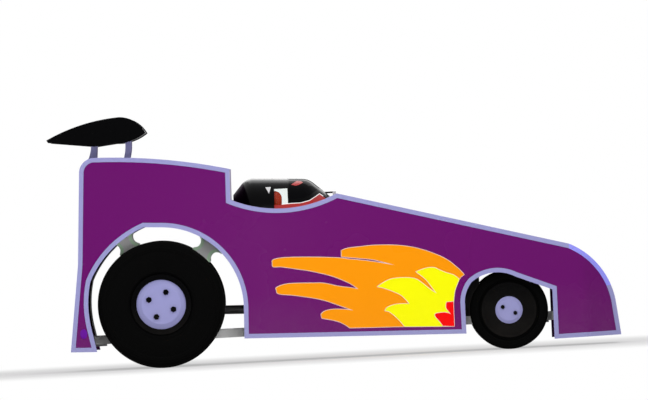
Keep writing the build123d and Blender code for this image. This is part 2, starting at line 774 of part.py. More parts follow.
# Seat and hoop
seat_half = tub_half - 120
seat_side = 25
seat_x0 = tub_x0
seat_high = 1090
cushion_top = tub_floor + 87
cushion_face = side_face(*chain([
    (seat_x0, tub_floor), (seat_x0 + 400, tub_floor), (seat_x0 + 400, cushion_top),
    (seat_x0 + 130, cushion_top), (seat_x0 + 70, seat_high), (seat_x0, seat_high),
]))
bolster_face = side_face(*chain([
    (seat_x0, tub_floor), (seat_x0 + 380, tub_floor), (seat_x0 + 380, 560),
    (seat_x0 + 180, 640), (seat_x0 + 130, 900), (seat_x0, 900),
]))
seat = across(cushion_face, seat_half)
bolster = plate_y(bolster_face, seat_half - seat_side, seat_half + seat_side)
parts["seat"] = seat + bolster + mirror(bolster, about=Plane.XZ)
hoop_x = seat_x0 + 110
hoop_r = 19
hoop_foot_y = tub_half - 28
hoop_top_half = 130
hoop_top = 1255
hoop_bend = 1000
hoop_round = 60
hoop_half = [(hoop_foot_y, rail_bottom), (hoop_foot_y, hoop_bend), (hoop_top_half, hoop_top)]
hoop_points = [(hoop_x, y, z) for y, z in hoop_half] + [(hoop_x, -y, z) for y, z in hoop_half[::-1]]
hoop_path = FilletPolyline(*hoop_points, radius=hoop_round)
hoop = sweep(Plane(origin=hoop_path @ 0, z_dir=hoop_path % 0) * Circle(hoop_r), path=hoop_path)
for rail_side in both_sides(block(-big, big, inner_rail_y, big, 0, rail_top)):
    hoop -= rail_side
parts["roll_hoop"] = hoop

# Padded surround for the driver's head, held by the hoop
pad_x0 = hoop_x + hoop_r - 4
pad_deep = 60
pad_reach = 180
pad_in = 142
pad_out = 182
pad_low = 1112
pad_high = 1222
head_pads = block(pad_x0, pad_x0 + pad_deep, -pad_out, pad_out, pad_low, hoop_top - hoop_r + 6)
side_pad = block(pad_x0, pad_x0 + pad_reach, pad_in, pad_out, pad_low, pad_high)
side_pad = fillet(side_pad.edges().filter_by(Axis.Y).group_by(Axis.X)[-1], 40)
head_pads += side_pad
head_pads += mirror(side_pad, about=Plane.XZ)
head_pads = head_pads & teardrop(canopy_wall + 12)
parts["head_pads"] = pack(head_pads - hoop)

# Dash, steering wheel and pedals
dash_x = rear_axle_x + 1190
dash_thick = 6
dash_low = 860
dash_half = tub_half - liner / 2
dash = keep(body_inside, dash_x, dash_x + dash_thick, -dash_half, dash_half, dash_low)
column_tilt = 20
column_r = 10
wheel_centre = (rear_axle_x + 1060, 0, 1000)
column_dir = Vector(math.cos(math.radians(column_tilt)), 0, -math.sin(math.radians(column_tilt)))


def on_column(distance):
    at = Vector(*wheel_centre) + column_dir * distance
    return (at.X, at.Y, at.Z)


column_end = 260
bearing_from = 110
bearing_to = 180
bearing_wall = 12
bearing = tube_between(on_column(bearing_from), on_column(bearing_to), column_r + bearing_wall)
column_hole = tube_between(on_column(0), on_column(2 * column_end), column_r + bearing_gap)
parts["dash_panel"] = (dash + bearing) - column_hole
grip_r = 140
grip_bar = 12
grip_high = 190
grip_plane = Plane(origin=wheel_centre, z_dir=column_dir, x_dir=(0, 1, 0))
grips = Torus(grip_r, grip_bar) & Box(4 * grip_r, grip_high, 4 * grip_bar)
spokes = Box(2 * grip_r, 34, 10) + Cylinder(34, 24)
column = tube_between(on_column(0), on_column(column_end), column_r)
parts["steering_wheel"] = grip_plane * (grips + spokes) + column
pedal_y = tunnel_half + 90
pedal_half = 35
pedal_low = 420
pedal_high = 520
pad_back = firewall_x - 80
pedal = block(pad_back - 10, pad_back, pedal_y - pedal_half, pedal_y + pedal_half, pedal_low, pedal_high)
pedal += block(pad_back, firewall_x, pedal_y - 8, pedal_y + 8, pedal_low + 20, pedal_low + 40)
parts["pedals"] = pack(*both_sides(pedal))

# Tie-down eyes under the crossmembers and jack pads under the floor
eye_plate = 16
eye_bore_r = 15
eye_tab_half = 40
eye_tab_reach = 60
eye_at = 40
jack_pad_r = 40
jack_pad_thick = 6
service = []
for x, away in ((cross_x[0], -1), (cross_x[3], 1)):
    back_x = x - away * beam_width / 2
    tip_x = x + away * eye_tab_reach
    tab = block(back_x, tip_x, -eye_tab_half, eye_tab_half, rail_bottom - eye_plate, rail_bottom)
    service.append(tab - rod_z(eye_bore_r, 0, big, x + away * eye_at, 0))
for x in (rear_axle_x + 700, front_axle_x - 420):
    service += both_sides(rod_z(jack_pad_r, pan_low - jack_pad_thick, pan_low, x, rail_y))
parts["service_points"] = pack(*service)

os.makedirs("parts", exist_ok=True)
for name, shape in parts.items():
    export_step(shape, f"parts/{name}.step")
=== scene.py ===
import bpy
import bmesh
import json
import math
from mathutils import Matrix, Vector
from mathutils.bvhtree import BVHTree
from mathutils.geometry import delaunay_2d_cdt


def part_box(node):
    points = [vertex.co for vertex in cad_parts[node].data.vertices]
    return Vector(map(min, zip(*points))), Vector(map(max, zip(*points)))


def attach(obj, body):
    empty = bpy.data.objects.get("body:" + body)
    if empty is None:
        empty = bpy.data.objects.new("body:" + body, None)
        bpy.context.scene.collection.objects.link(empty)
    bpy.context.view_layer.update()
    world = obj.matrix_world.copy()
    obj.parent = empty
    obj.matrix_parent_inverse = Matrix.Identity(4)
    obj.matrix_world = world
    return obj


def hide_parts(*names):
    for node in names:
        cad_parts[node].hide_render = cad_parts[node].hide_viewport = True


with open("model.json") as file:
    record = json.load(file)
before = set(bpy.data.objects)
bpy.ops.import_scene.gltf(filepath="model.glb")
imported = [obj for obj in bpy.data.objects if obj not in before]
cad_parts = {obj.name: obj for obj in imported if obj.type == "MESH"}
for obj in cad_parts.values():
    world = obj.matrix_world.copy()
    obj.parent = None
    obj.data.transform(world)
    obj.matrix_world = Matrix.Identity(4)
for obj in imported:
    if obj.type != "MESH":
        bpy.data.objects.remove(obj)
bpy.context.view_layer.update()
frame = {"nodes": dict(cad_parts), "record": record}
nodes = frame["nodes"]
rearAxleX = -1.268  # metres along the car
frontAxleX = 1.232
print("frame loaded:", len(nodes), "nodes")


# Small helpers for objects and node trees

def linkObject(name, data):
    piece = bpy.data.objects.new(name, data)
    bpy.context.collection.objects.link(piece)
    return piece


def newMesh(name, verts, faces):
    mesh = bpy.data.meshes.new(name)
    mesh.from_pydata(verts, [], faces)
    return mesh


def srgb(red, green, blue):
    # 0 to 255 as seen on a screen, to the linear colour a shader wants
    return tuple(((c / 255 + 0.055) / 1.055) ** 2.4 if c > 10 else c / 255 / 12.92 for c in (red, green, blue)) + (1.0,)


def addNode(tree, kind, values=None, **settings):
    # one node: its settings first, then a number or a link for each input
    node = tree.nodes.new(kind)
    for key, value in settings.items():
        setattr(node, key, value)
    for key, value in (values or {}).items():
        if isinstance(value, bpy.types.NodeSocket):
            tree.links.new(value, node.inputs[key])
        else:
            node.inputs[key].default_value = value
    return node


def addMath(tree, operation, first, second, clamp=False):
    return addNode(tree, "ShaderNodeMath", {0: first, 1: second}, operation=operation, use_clamp=clamp).outputs[0]


def mixColour(tree, factor, first, second):
    # the first colour where the factor is 0, the second where it is 1
    return addNode(tree, "ShaderNodeMix", {"Factor": factor, "A": first, "B": second}, data_type="RGBA").outputs["Result"]


# Camera, light and floor

cameraLook = {
    "lens": 926.0, "distance": 120.0, "aim": (-0.057, -0.80, 1.145),
    "roll": 3.1, "elevation": 0.0,  # degrees
}
lightRig = {
    "world": 0.36, "aim": (0, 0, 0.7),
    "lamps": [  # name, place, power, size, seen in shiny surfaces
        ("keyLamp", (2.5, -6.0, 6.0), 150.0, 5.0, True),
        ("fillLamp", (-5.5, -5.0, 3.0), 85.0, 5.0, True),
        ("backLamp", (0.5, 6.5, 5.0), 145.0, 5.0, True),
        ("frontLamp", (0.0, -8.0, 1.1), 172.0, 2.0, False),
    ],
}
floorLook = {"half": 150.0, "colour": (0.86, 0.86, 0.86, 1), "fadeFrom": 2.6, "fadeTo": 6.0, "leastWhite": 0.45}


def addCamera(look):
    data = bpy.data.cameras.new("sideCamera")
    camera = linkObject("sideCamera", data)
    data.lens = look["lens"]
    data.sensor_width = 36.0
    data.clip_end = 400.0
    tilt = math.radians(look["elevation"])
    camera.location = Vector(look["aim"]) + Vector((0, -math.cos(tilt), math.sin(tilt))) * look["distance"]
    camera.rotation_euler = (math.radians(90 - look["elevation"]), math.radians(look["roll"]), 0)
    bpy.context.scene.camera = camera


def addStudio(rig):
    # a pale room that the camera, mirrors and panes see as plain white, and four area lamps
    world = bpy.data.worlds.new("paleRoom")
    bpy.context.scene.world = world
    world.use_nodes = True
    tree = world.node_tree
    tree.nodes.clear()
    path = addNode(tree, "ShaderNodeLightPath").outputs
    seen = addMath(tree, "ADD", path["Is Camera Ray"], path["Is Glossy Ray"])
    seen = addMath(tree, "ADD", seen, path["Is Transmission Ray"], clamp=True)
    soft = addNode(tree, "ShaderNodeBackground", {"Color": (1, 1, 1, 1), "Strength": rig["world"]})
    white = addNode(tree, "ShaderNodeBackground", {"Color": (1, 1, 1, 1), "Strength": 1.0})
    mix = addNode(tree, "ShaderNodeMixShader", {0: seen, 1: soft.outputs[0], 2: white.outputs[0]})
    addNode(tree, "ShaderNodeOutputWorld", {"Surface": mix.outputs[0]})
    for name, place, power, size, mirrored in rig["lamps"]:
        data = bpy.data.lights.new(name, "AREA")
        data.energy = power
        data.size = size
        lamp = linkObject(name, data)
        lamp.location = place
        lamp.visible_glossy = mirrored
        lamp.rotation_euler = (Vector(rig["aim"]) - Vector(place)).to_track_quat("-Z", "Y").to_euler()


def addFloor(look):
    # matt round the car, so that it takes the shadow, and fading to the room's white further out
    half = look["half"]
    mesh = newMesh("floorPlane", [(-half, -half, 0), (half, -half, 0), (half, half, 0), (-half, half, 0)], [(0, 1, 2, 3)])
    floor = linkObject("floorPlane", mesh)
    material = bpy.data.materials.new("paleFloor")
    material.use_nodes = True
    tree = material.node_tree
    tree.nodes.clear()
    place = addNode(tree, "ShaderNodeTexCoord").outputs["Object"]
    distance = addNode(tree, "ShaderNodeVectorMath", {0: place}, operation="LENGTH").outputs["Value"]
    fade = addNode(tree, "ShaderNodeMapRange", {
        "Value": distance, "From Min": look["fadeFrom"], "From Max": look["fadeTo"], "To Min": look["leastWhite"],
    }, interpolation_type="SMOOTHSTEP")
    toCamera = addNode(tree, "ShaderNodeLightPath").outputs["Is Camera Ray"]
    white = addMath(tree, "MULTIPLY", fade.outputs["Result"], toCamera)
    matt = addNode(tree, "ShaderNodeBsdfDiffuse", {"Color": look["colour"]})
    plain = addNode(tree, "ShaderNodeEmission", {"Strength": 1.0})
    mix = addNode(tree, "ShaderNodeMixShader", {0: white, 1: matt.outputs[0], 2: plain.outputs[0]})
    addNode(tree, "ShaderNodeOutputMaterial", {"Surface": mix.outputs[0]})
    mesh.materials.append(material)


addCamera(cameraLook)
addStudio(lightRig)
addFloor(floorLook)
bpy.context.scene.view_settings.view_transform = "Standard"
print("camera, lamps and floor ready")


# Shared effects, each a shader node group

def newGroup(name, labels, outputs):
    # labels come with a first number, or None for a vector
    group = bpy.data.node_groups.new(name, "ShaderNodeTree")
    for label, value in labels.items():
        kind = "NodeSocketVector" if value is None else "NodeSocketFloat"
        socket = group.interface.new_socket(name=label, in_out="INPUT", socket_type=kind)
        if value is not None:
            socket.default_value = value
    for label, kind in outputs.items():
        group.interface.new_socket(name=label, in_out="OUTPUT", socket_type=kind)
    place = addNode(group, "ShaderNodeTexCoord").outputs["Object"]
    return group, group.nodes.new("NodeGroupInput").outputs, place


def endGroup(group, values):
    addNode(group, "NodeGroupOutput", values)
    return group


def makeLowMask(name, labels, detail, peaks=None):
    # a mask that is full at the floor and gone at a height, broken up by noise or by the noise's peaks alone
    group, given, place = newGroup(name, labels, {"Mask": "NodeSocketFloat"})
    noise = {"Vector": place, "Scale": given["Scale"], "Detail": detail}
    broken = addNode(group, "ShaderNodeTexNoise", noise).outputs["Fac"]
    if peaks:
        cut = {"Value": broken, "From Min": peaks[0], "From Max": peaks[1]}
        broken = addNode(group, "ShaderNodeMapRange", cut).outputs["Result"]
    height = addNode(group, "ShaderNodeSeparateXYZ", {0: place}).outputs["Z"]
    fall = {"Value": height, "From Max": given["Height"], "To Min": 1.0, "To Max": 0.0}
    low = addMath(group, "MULTIPLY", addNode(group, "ShaderNodeMapRange", fall).outputs["Result"], broken)
    return endGroup(group, {"Mask": addMath(group, "MULTIPLY", low, given["Amount"], clamp=True)})


def makeGrainGroup(detail, distance):
    # fine unevenness for bumps and for colour
    outputs = {"Normal": "NodeSocketVector", "Value": "NodeSocketFloat"}
    group, given, place = newGroup("fineGrain", {"Scale": 200.0, "Depth": 0.1, "Stretch": None}, outputs)
    drawnOut = addNode(group, "ShaderNodeMapping", {"Vector": place, "Scale": given["Stretch"]}).outputs[0]
    noise = addNode(group, "ShaderNodeTexNoise", {"Vector": drawnOut, "Scale": given["Scale"], "Detail": detail}).outputs["Fac"]
    bump = addNode(group, "ShaderNodeBump", {"Height": noise, "Strength": given["Depth"], "Distance": distance})
    return endGroup(group, {"Normal": bump.outputs["Normal"], "Value": noise})


def makeSmudgeGroup(detail, low, high):
    # large soft patches where the polish is duller
    group, given, place = newGroup("softSmudge", {"Scale": 2.0, "Low": 0.2, "High": 0.35}, {"Value": "NodeSocketFloat"})
    noise = addNode(group, "ShaderNodeTexNoise", {"Vector": place, "Scale": given["Scale"], "Detail": detail}).outputs["Fac"]
    spread = addNode(group, "ShaderNodeMapRange", {
        "Value": noise, "From Min": low, "From Max": high, "To Min": given["Low"], "To Max": given["High"],
    })
    return endGroup(group, {"Value": spread.outputs["Result"]})


lowDust = makeLowMask("lowDust", {"Amount": 0.3, "Height": 0.5, "Scale": 9.0}, detail=6.0)
stoneChips = makeLowMask("stoneChips", {"Amount": 0.3, "Height": 0.45, "Scale": 260.0}, detail=2.0, peaks=(0.66, 0.70))
fineGrain = makeGrainGroup(detail=4.0, distance=0.001)
softSmudge = makeSmudgeGroup(detail=3.0, low=0.3, high=0.7)
dustColour = srgb(150, 140, 128)
primerColour = srgb(168, 166, 164)


# Finishes

def newMaterial(name, plain):
    # a Principled material with its plain numbers set on the shader itself
    material = bpy.data.materials.new(name)
    material.use_nodes = True
    tree = material.node_tree
    shader = tree.nodes["Principled BSDF"]
    for label, value in plain.items():
        shader.inputs[label].default_value = value
    return material, tree, shader.inputs


def makeFinish(name, colour, rough=(0.25, 0.35), metallic=0.0, specular=0.35, coat=0.0, coatRough=0.08,
               grain=(300.0, 0.05), stretch=(1, 1, 1), dust=0.25, dustHeight=0.5, chips=0.0, variation=0.05):
    # colour with slight variation, smudged roughness, fine grain, dust low down and chips down to the primer
    material, tree, sockets = newMaterial(name, {
        "Metallic": metallic, "Specular IOR Level": specular, "Coat Weight": coat, "Coat Roughness": coatRough,
    })
    uneven = {"Scale": grain[0], "Depth": grain[1], "Stretch": stretch}
    grainNode = addNode(tree, "ShaderNodeGroup", uneven, node_tree=fineGrain).outputs
    dull = addNode(tree, "ShaderNodeGroup", {"Low": rough[0], "High": rough[1]}, node_tree=softSmudge).outputs["Value"]
    dustMask = addNode(tree, "ShaderNodeGroup", {"Amount": dust, "Height": dustHeight}, node_tree=lowDust).outputs["Mask"]
    darker = tuple(c * (1 - variation) for c in colour[:3]) + (1,)
    lighter = tuple(min(1, c * (1 + variation)) for c in colour[:3]) + (1,)
    shade = mixColour(tree, grainNode["Value"], darker, lighter)
    shade = mixColour(tree, dustMask, shade, dustColour)
    if chips:
        chipMask = addNode(tree, "ShaderNodeGroup", {"Amount": chips}, node_tree=stoneChips).outputs["Mask"]
        shade = mixColour(tree, chipMask, shade, primerColour)
    tree.links.new(shade, sockets["Base Color"])
    tree.links.new(addMath(tree, "ADD", dull, dustMask, clamp=True), sockets["Roughness"])
    tree.links.new(grainNode["Normal"], sockets["Normal"])
    return material


def makePane(name, colour, through, rough, ior=1.1, specular=0.2, wipeScale=9.0, scratch=(260.0, 0.012), tint=0.94):
    # moulded plastic sheet: wiped patches, fine scratches in the polish and a slight change of tint
    plain = {"Transmission Weight": through, "IOR": ior, "Specular IOR Level": specular}
    material, tree, sockets = newMaterial(name, plain)
    wiped = addNode(tree, "ShaderNodeGroup", {"Scale": wipeScale, "Low": rough[0], "High": rough[1]}, node_tree=softSmudge)
    scratches = {"Scale": scratch[0], "Depth": scratch[1], "Stretch": (0.08, 1, 1)}
    scratch = addNode(tree, "ShaderNodeGroup", scratches, node_tree=fineGrain).outputs
    deeper = tuple(c * tint for c in colour[:3]) + (1,)
    tree.links.new(mixColour(tree, scratch["Value"], colour, deeper), sockets["Base Color"])
    tree.links.new(wiped.outputs["Value"], sockets["Roughness"])
    tree.links.new(scratch["Normal"], sockets["Normal"])
    return material


gloss = {"grain": (420, 0.02), "specular": 0.1, "dust": 0.04}
hide = {"grain": (700, 0.3), "rough": (0.45, 0.6), "specular": 0.25, "dust": 0.0, "variation": 0.1}
moulding = {"rough": (0.28, 0.4), "specular": 0.2, "grain": (380, 0.04), "chips": 0.3}
muddy = {"dust": 0.5, "dustHeight": 0.8}
hanger = {"rough": (0.4, 0.5), "specular": 0.3, "grain": (300, 0.06)}
finishLooks = {
    "purplePaint": {
        "colour": srgb(102, 0, 102), "rough": (0.2, 0.3), "specular": 0.12, "coat": 0.05, "grain": (420, 0.03),
        "dust": 0.1, "chips": 0.3,
    },
    "lavenderPaint": {"colour": srgb(153, 153, 204), **moulding, "dust": 0.14},
    "bluePaint": {"colour": srgb(153, 153, 255), **moulding, "dust": 0.1},
    "blackPaint": {"colour": srgb(1, 1, 2), "rough": (0.14, 0.24), "specular": 0.05, "grain": (380, 0.04), "dust": 0.05},
    "sheetAluminium": {
        "colour": srgb(196, 198, 202), "rough": (0.35, 0.5), "metallic": 1.0, "grain": (120, 0.06), "stretch": (0.15, 1, 1),
        "dust": 0.4, "dustHeight": 0.7,
    },
    "framePaint": {"colour": srgb(26, 26, 28), "rough": (0.4, 0.55), "grain": (500, 0.12), **muddy, "dustHeight": 0.6, "chips": 0.8},
    "axleSteel": {"colour": srgb(120, 120, 124), "rough": (0.35, 0.5), "metallic": 0.9, "grain": (160, 0.06), **muddy},
    "brightSteel": {"colour": srgb(205, 205, 208), "rough": (0.12, 0.25), "metallic": 1.0, "grain": (200, 0.02), "dust": 0.2},
    "castIron": {"colour": srgb(62, 62, 64), "rough": (0.6, 0.75), "metallic": 0.4, "grain": (90, 0.35), **muddy, "dust": 0.4},
    # painted light: the hanger grey and green are written far lighter than their paint, to make up for the shade in the
    # wheel arches where the hangers sit; every solid with the hanger_grey slot, the chassis rails among them, gets the
    # same lightened grey
    "hangerGreyPaintedLight": {"colour": srgb(235, 235, 235), **hanger, "dust": 0.1},
    "hangerGreenPaintedLight": {"colour": srgb(220, 255, 220), **hanger, "dust": 0.05},
    "tyreRubber": {
        "colour": srgb(9, 9, 9), "rough": (0.7, 0.85), "specular": 0.1, "grain": (260, 0.3), "dust": 0.05, "dustHeight": 0.3,
    },
    "redLeather": {"colour": srgb(204, 51, 51), **hide},
    "orangeLeather": {"colour": srgb(204, 51, 0), **hide},
    "redPaint": {"colour": srgb(204, 51, 51), "rough": (0.3, 0.42), "specular": 0.2, "grain": (420, 0.04), "dust": 0.0},
    "blackPlastic": {
        "colour": srgb(20, 20, 21), "rough": (0.5, 0.65), "specular": 0.25, "grain": (600, 0.2), "dust": 0.3, "dustHeight": 0.9,
    },
    "flameOrange": {"colour": srgb(255, 153, 0), **gloss},
    "flameYellow": {"colour": srgb(255, 255, 0), **gloss},
    "flameRed": {"colour": srgb(255, 0, 0), **gloss},
    "flameStripe": {"colour": srgb(232, 206, 196), **gloss},
    # a painted highlight: plain white for the triangle laid on the canopy's rear
    "paintedHighlightWhite": {"colour": srgb(250, 250, 250), **gloss, "rough": (0.3, 0.4), "specular": 0.15, "dust": 0.0, "variation": 0.01},
    "redInlay": {"colour": srgb(204, 51, 51), **gloss, "specular": 0.15, "dust": 0.0},
    "violetCap": {"colour": srgb(102, 0, 153), "specular": 0.15, "grain": (420, 0.03), "dust": 0.05},
    "paleThread": {"colour": srgb(214, 150, 140), "rough": (0.6, 0.7), "specular": 0.2, "grain": (900, 0.2), "dust": 0.0},
    "darkBead": {"colour": srgb(120, 22, 24), "rough": (0.5, 0.6), "specular": 0.2, "grain": (800, 0.2), "dust": 0.0},
}
paneLooks = {
    "smokedPane": {"colour": (0.004, 0.004, 0.005, 1), "through": 0.12, "rough": (0.04, 0.10)},
    "clearPane": {"colour": (0.95, 0.98, 0.97, 1), "through": 1.0, "rough": (0.03, 0.07)},
}
finishes = {name: makeFinish(name, **look) for name, look in finishLooks.items()}
finishes.update({name: makePane(name, **look) for name, look in paneLooks.items()})

slotFinish = {
    "body_purple": "purplePaint", "moulding_lavender": "lavenderPaint", "moulding_blue": "bluePaint", "disc_lavender": "lavenderPaint",
    "black_gloss": "blackPaint", "sheet_aluminium": "sheetAluminium", "frame_paint": "framePaint", "axle_steel": "axleSteel",
    "bright_steel": "brightSteel", "engine_iron": "castIron", "hanger_grey": "hangerGreyPaintedLight", "hanger_green": "hangerGreenPaintedLight",
    "tyre": "tyreRubber", "smoked_pane": "smokedPane", "clear_pane": "clearPane", "orange_pad": "orangeLeather",
    "red_trim": "redLeather", "red_paint": "redPaint", "black_plastic": "blackPlastic",
}
for entry in frame["record"]["subparts"]:
    mesh = nodes[entry["node"]].data
    finish = finishes[slotFinish[entry["material_slot"]]]
    for index in range(len(mesh.materials)):
        mesh.materials[index] = finish
    if not mesh.materials:
        mesh.materials.append(finish)
print("finishes on the solids")


# Helpers for the pieces made here

bodyLook = {"half": 0.912, "taperFrom": -0.568, "taper": 0.0877, "lean": math.radians(3.5)}


def drawn(x, z, *_):
    # a place in the side view, from millimetres off the rear axle and the floor to metres
    return Vector((rearAxleX + x / 1000, z / 1000))


def sideHalf(x, z):
    # half the body's width at a place, as the plan and the lean of the sides give it
    plan = bodyLook["half"] - max(0.0, x - bodyLook["taperFrom"]) * bodyLook["taper"]
    return plan - math.tan(bodyLook["lean"]) * z


def dressPiece(piece, finish, slot, body):
    if not piece.data.materials:
        piece.data.materials.append(finishes[finish])
    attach(piece, body)
    return piece


def addPiece(name, mesh, finish, slot, body):
    # one object at the origin, its place in its mesh
    return dressPiece(linkObject(name, mesh), finish, slot, body)


def rework(mesh, work):
    bm = bmesh.new()
    bm.from_mesh(mesh)
    work(bm)
    bm.to_mesh(mesh)
    bm.free()
    return mesh


def turnOutward(mesh):
    # every face to look out of a closed mesh
    return rework(mesh, lambda bm: bmesh.ops.recalc_face_normals(bm, faces=bm.faces))


def smoothFaces(mesh, sharpFrom=None):
    # smooth shading, with edges past an angle in degrees left sharp
    for poly in mesh.polygons:
        poly.use_smooth = True
    if sharpFrom:
        mesh.set_sharp_from_angle(angle=math.radians(sharpFrom))
    return mesh


def circle(count, shift=0.0):
    # cosine and sine of even steps round a circle
    angles = [2 * math.pi * (k + shift) / count for k in range(count)]
    return [(math.cos(a), math.sin(a)) for a in angles]


def bandFaces(first, second, count):
    # four-sided faces between two rings of points, by the number of each ring's first point
    return [(first + k, first + (k + 1) % count, second + (k + 1) % count, second + k) for k in range(count)]


def softLine(points, steps, sharp=(), closed=False):
    # Catmull-Rom through the points, straight into each one named sharp
    pts = [Vector(p) for p in points]
    count = len(pts)
    line = []
    for i in range(count if closed else count - 1):
        j = (i + 1) % count
        a, b = pts[i], pts[j]
        before = a if i in sharp or (i == 0 and not closed) else pts[i - 1]
        after = b if j in sharp or (j == count - 1 and not closed) else pts[(i + 2) % count]
        for s in range(steps):
            t = s / steps
            square = (2 * before - 5 * a + 4 * b - after) * t * t
            cube = (3 * a - before - 3 * b + after) * t * t * t
            line.append(0.5 * (2 * a + (b - before) * t + square + cube))
    return line if closed else line + [pts[-1]]


def meshTree(meshes):
    # what rays are cast on
    verts, faces = [], []
    for mesh in meshes:
        base = len(verts)
        verts += [v.co.copy() for v in mesh.vertices]
        faces += [[base + i for i in p.vertices] for p in mesh.polygons]
    return BVHTree.FromPolygons(verts, faces)


def wallTree(*names):
    return meshTree([nodes[name].data for name in names])


def spotOn(tree, start, way):
    # where a line from start meets a surface, and the way it faces
    hit, normal, *_ = tree.ray_cast(Vector(start), Vector(way).normalized())
    if hit is None:
        return None
    return (hit, normal if normal.dot(Vector(way)) < 0 else -normal)


def fromSide(tree, x, z, side, start=2.0):
    return spotOn(tree, (x, side * start, z), (0, -side, 0))


def fromAbove(tree, x, y, start=3.0):
    return spotOn(tree, (x, y, start), (0, 0, -1))


def fromBelow(tree, x, y, start=-1.0):
    return spotOn(tree, (x, y, start), (0, 0, 1))


def fromBehind(tree, y, z, start=-4.0):
    return spotOn(tree, (start, y, z), (1, 0, 0))


def fillOutline(points, count, nearest=1e-5):
    # flat triangles inside the closed line that the first points make, through all the points
    ring, insideOnly = list(range(count)), 1
    flat, _, faces, *_ = delaunay_2d_cdt(points, [(i, (i + 1) % count) for i in ring], [ring], insideOnly, nearest)
    return flat, faces


def closedFilm(name, verts, ways, faces, thick, sharpFrom=40):
    # a laid sheet, the same sheet turned round behind it and a wall along its edge; unused points are dropped
    used = sorted({i for f in faces for i in f})
    place = {i: k for k, i in enumerate(used)}
    count = len(used)
    points = [verts[i] for i in used] + [verts[i] - ways[i] * thick for i in used]
    front = [[place[i] for i in f] for f in faces]
    edges = {(f[k - 1], f[k]) for f in front for k in range(len(f))}
    walls = [(b, a, a + count, b + count) for a, b in sorted(edges) if (b, a) not in edges]
    mesh = newMesh(name, points, front + [[i + count for i in reversed(f)] for f in front] + walls)
    mesh.update()
    if mesh.polygons[0].normal.dot(ways[used[0]]) < 0:
        mesh.flip_normals()
    return smoothFaces(mesh, sharpFrom)


# Flame ornament on both sides: filled shapes laid on the side panels

flameLook = {"cell": 0.035, "stripe": 0.0035, "lift": 0.0004, "step": 0.0004, "thickness": 0.0003, "panelHalf": 0.85}
# side-view points in millimetres from the rear axle and the floor; a third value of 1 marks a sharp tip
flameShapes = {
    "Orange": [
        (1316, 776, 1), (1363, 789), (1459, 796), (1561, 800), (1712, 792), (1842, 768), (1961, 726), (2070, 670), (2156, 594),
        (2190, 554, 1), (2153, 523), (2118, 444), (2104, 364), (2098, 294), (2099, 187, 1), (1741, 204), (1347, 216, 1), (1308, 245),
        (1254, 271), (1149, 297, 1), (1145, 325, 1), (1172, 346), (1233, 356), (1314, 351), (1379, 340, 1), (1275, 384), (1146, 433),
        (966, 471), (851, 488), (835, 514), (838, 536), (920, 557), (1092, 553), (1183, 546), (1282, 520), (1373, 503), (1423, 492, 1),
        (1364, 536), (1246, 593), (1097, 638), (976, 663), (876, 682), (821, 685), (815, 712), (824, 735), (910, 746), (1082, 740),
        (1281, 725), (1374, 710), (1514, 688), (1694, 650, 1), (1615, 676), (1535, 699), (1435, 714), (1314, 731, 1),
    ],
    "Yellow": [
        (1843, 593, 1), (1915, 615), (1976, 616), (2015, 597), (2064, 574), (2114, 556), (2153, 523, 1), (2118, 444), (2104, 364),
        (2098, 294), (2099, 187, 1), (1741, 204, 1), (1713, 244), (1674, 286), (1636, 317), (1606, 325, 1), (1627, 350), (1694, 368),
        (1785, 366, 1), (1761, 398), (1723, 435), (1654, 470), (1595, 493), (1560, 500, 1), (1596, 523), (1658, 550), (1740, 556),
        (1830, 546), (1889, 507), (1937, 464), (1984, 431, 1), (1962, 463), (1920, 526), (1882, 563),
    ],
    "Red": [
        (2053, 362, 1), (2102, 364, 1), (2099, 187, 1), (2018, 194, 1), (1995, 229), (1967, 265), (1973, 285), (2039, 289),
        (2078, 275, 1), (2069, 290), (2050, 317), (2048, 340),
    ],
}
sideWall = wallTree("side_panels", "nose_sides", "rear_quarters")


def grownOutline(line, amount):
    # the same outline a little larger all round
    area = sum(line[i - 1].x * line[i].y - line[i].x * line[i - 1].y for i in range(len(line)))
    turn = 1 if area > 0 else -1
    grown = []
    for i in range(len(line)):
        along = (line[(i + 1) % len(line)] - line[i - 1]).normalized()
        grown.append(line[i] + Vector((along.y, -along.x)) * amount * turn)
    return grown


def layOnSide(name, line, side, lift, finish):
    # fills an outline with small triangles and drops them on the side panel
    cell = flameLook["cell"]
    lowX, highX = min(p.x for p in line), max(p.x for p in line)
    lowZ, highZ = min(p.y for p in line), max(p.y for p in line)
    points = list(line)
    for i in range(int((highX - lowX) / cell) + 1):
        for j in range(int((highZ - lowZ) / cell) + 1):
            points.append(Vector((lowX + (i + 0.5) * cell, lowZ + (j + 0.5) * cell)))
    flat, faces = fillOutline(points, len(line))
    outward = Vector((0, side, 0))
    verts = []
    for p in flat:
        spot = fromSide(sideWall, p.x, p.y, side) or sideWall.find_nearest(Vector((p.x, side * flameLook["panelHalf"], p.y)))
        verts.append(spot[0] + outward * lift)
    addPiece(name, closedFilm(name, verts, [outward] * len(verts), faces, flameLook["thickness"]), finish, "body_purple", "chassis")


for side, sideName in ((-1, "Right"), (1, "Left")):
    lift = flameLook["lift"]
    for colour, shape in flameShapes.items():
        tips = [i for i, p in enumerate(shape) if len(p) > 2]
        line = softLine([drawn(*p) for p in shape], 5, tips, closed=True)
        layOnSide("flameStripe" + colour + sideName, grownOutline(line, flameLook["stripe"]), side, lift, "flameStripe")
        layOnSide("flame" + colour + sideName, line, side, lift + flameLook["step"], "flame" + colour)
        lift += 2 * flameLook["step"]
print("flames laid on both sides")


# Tyres: a turned section with moulded rings, wear marks and its own UV map

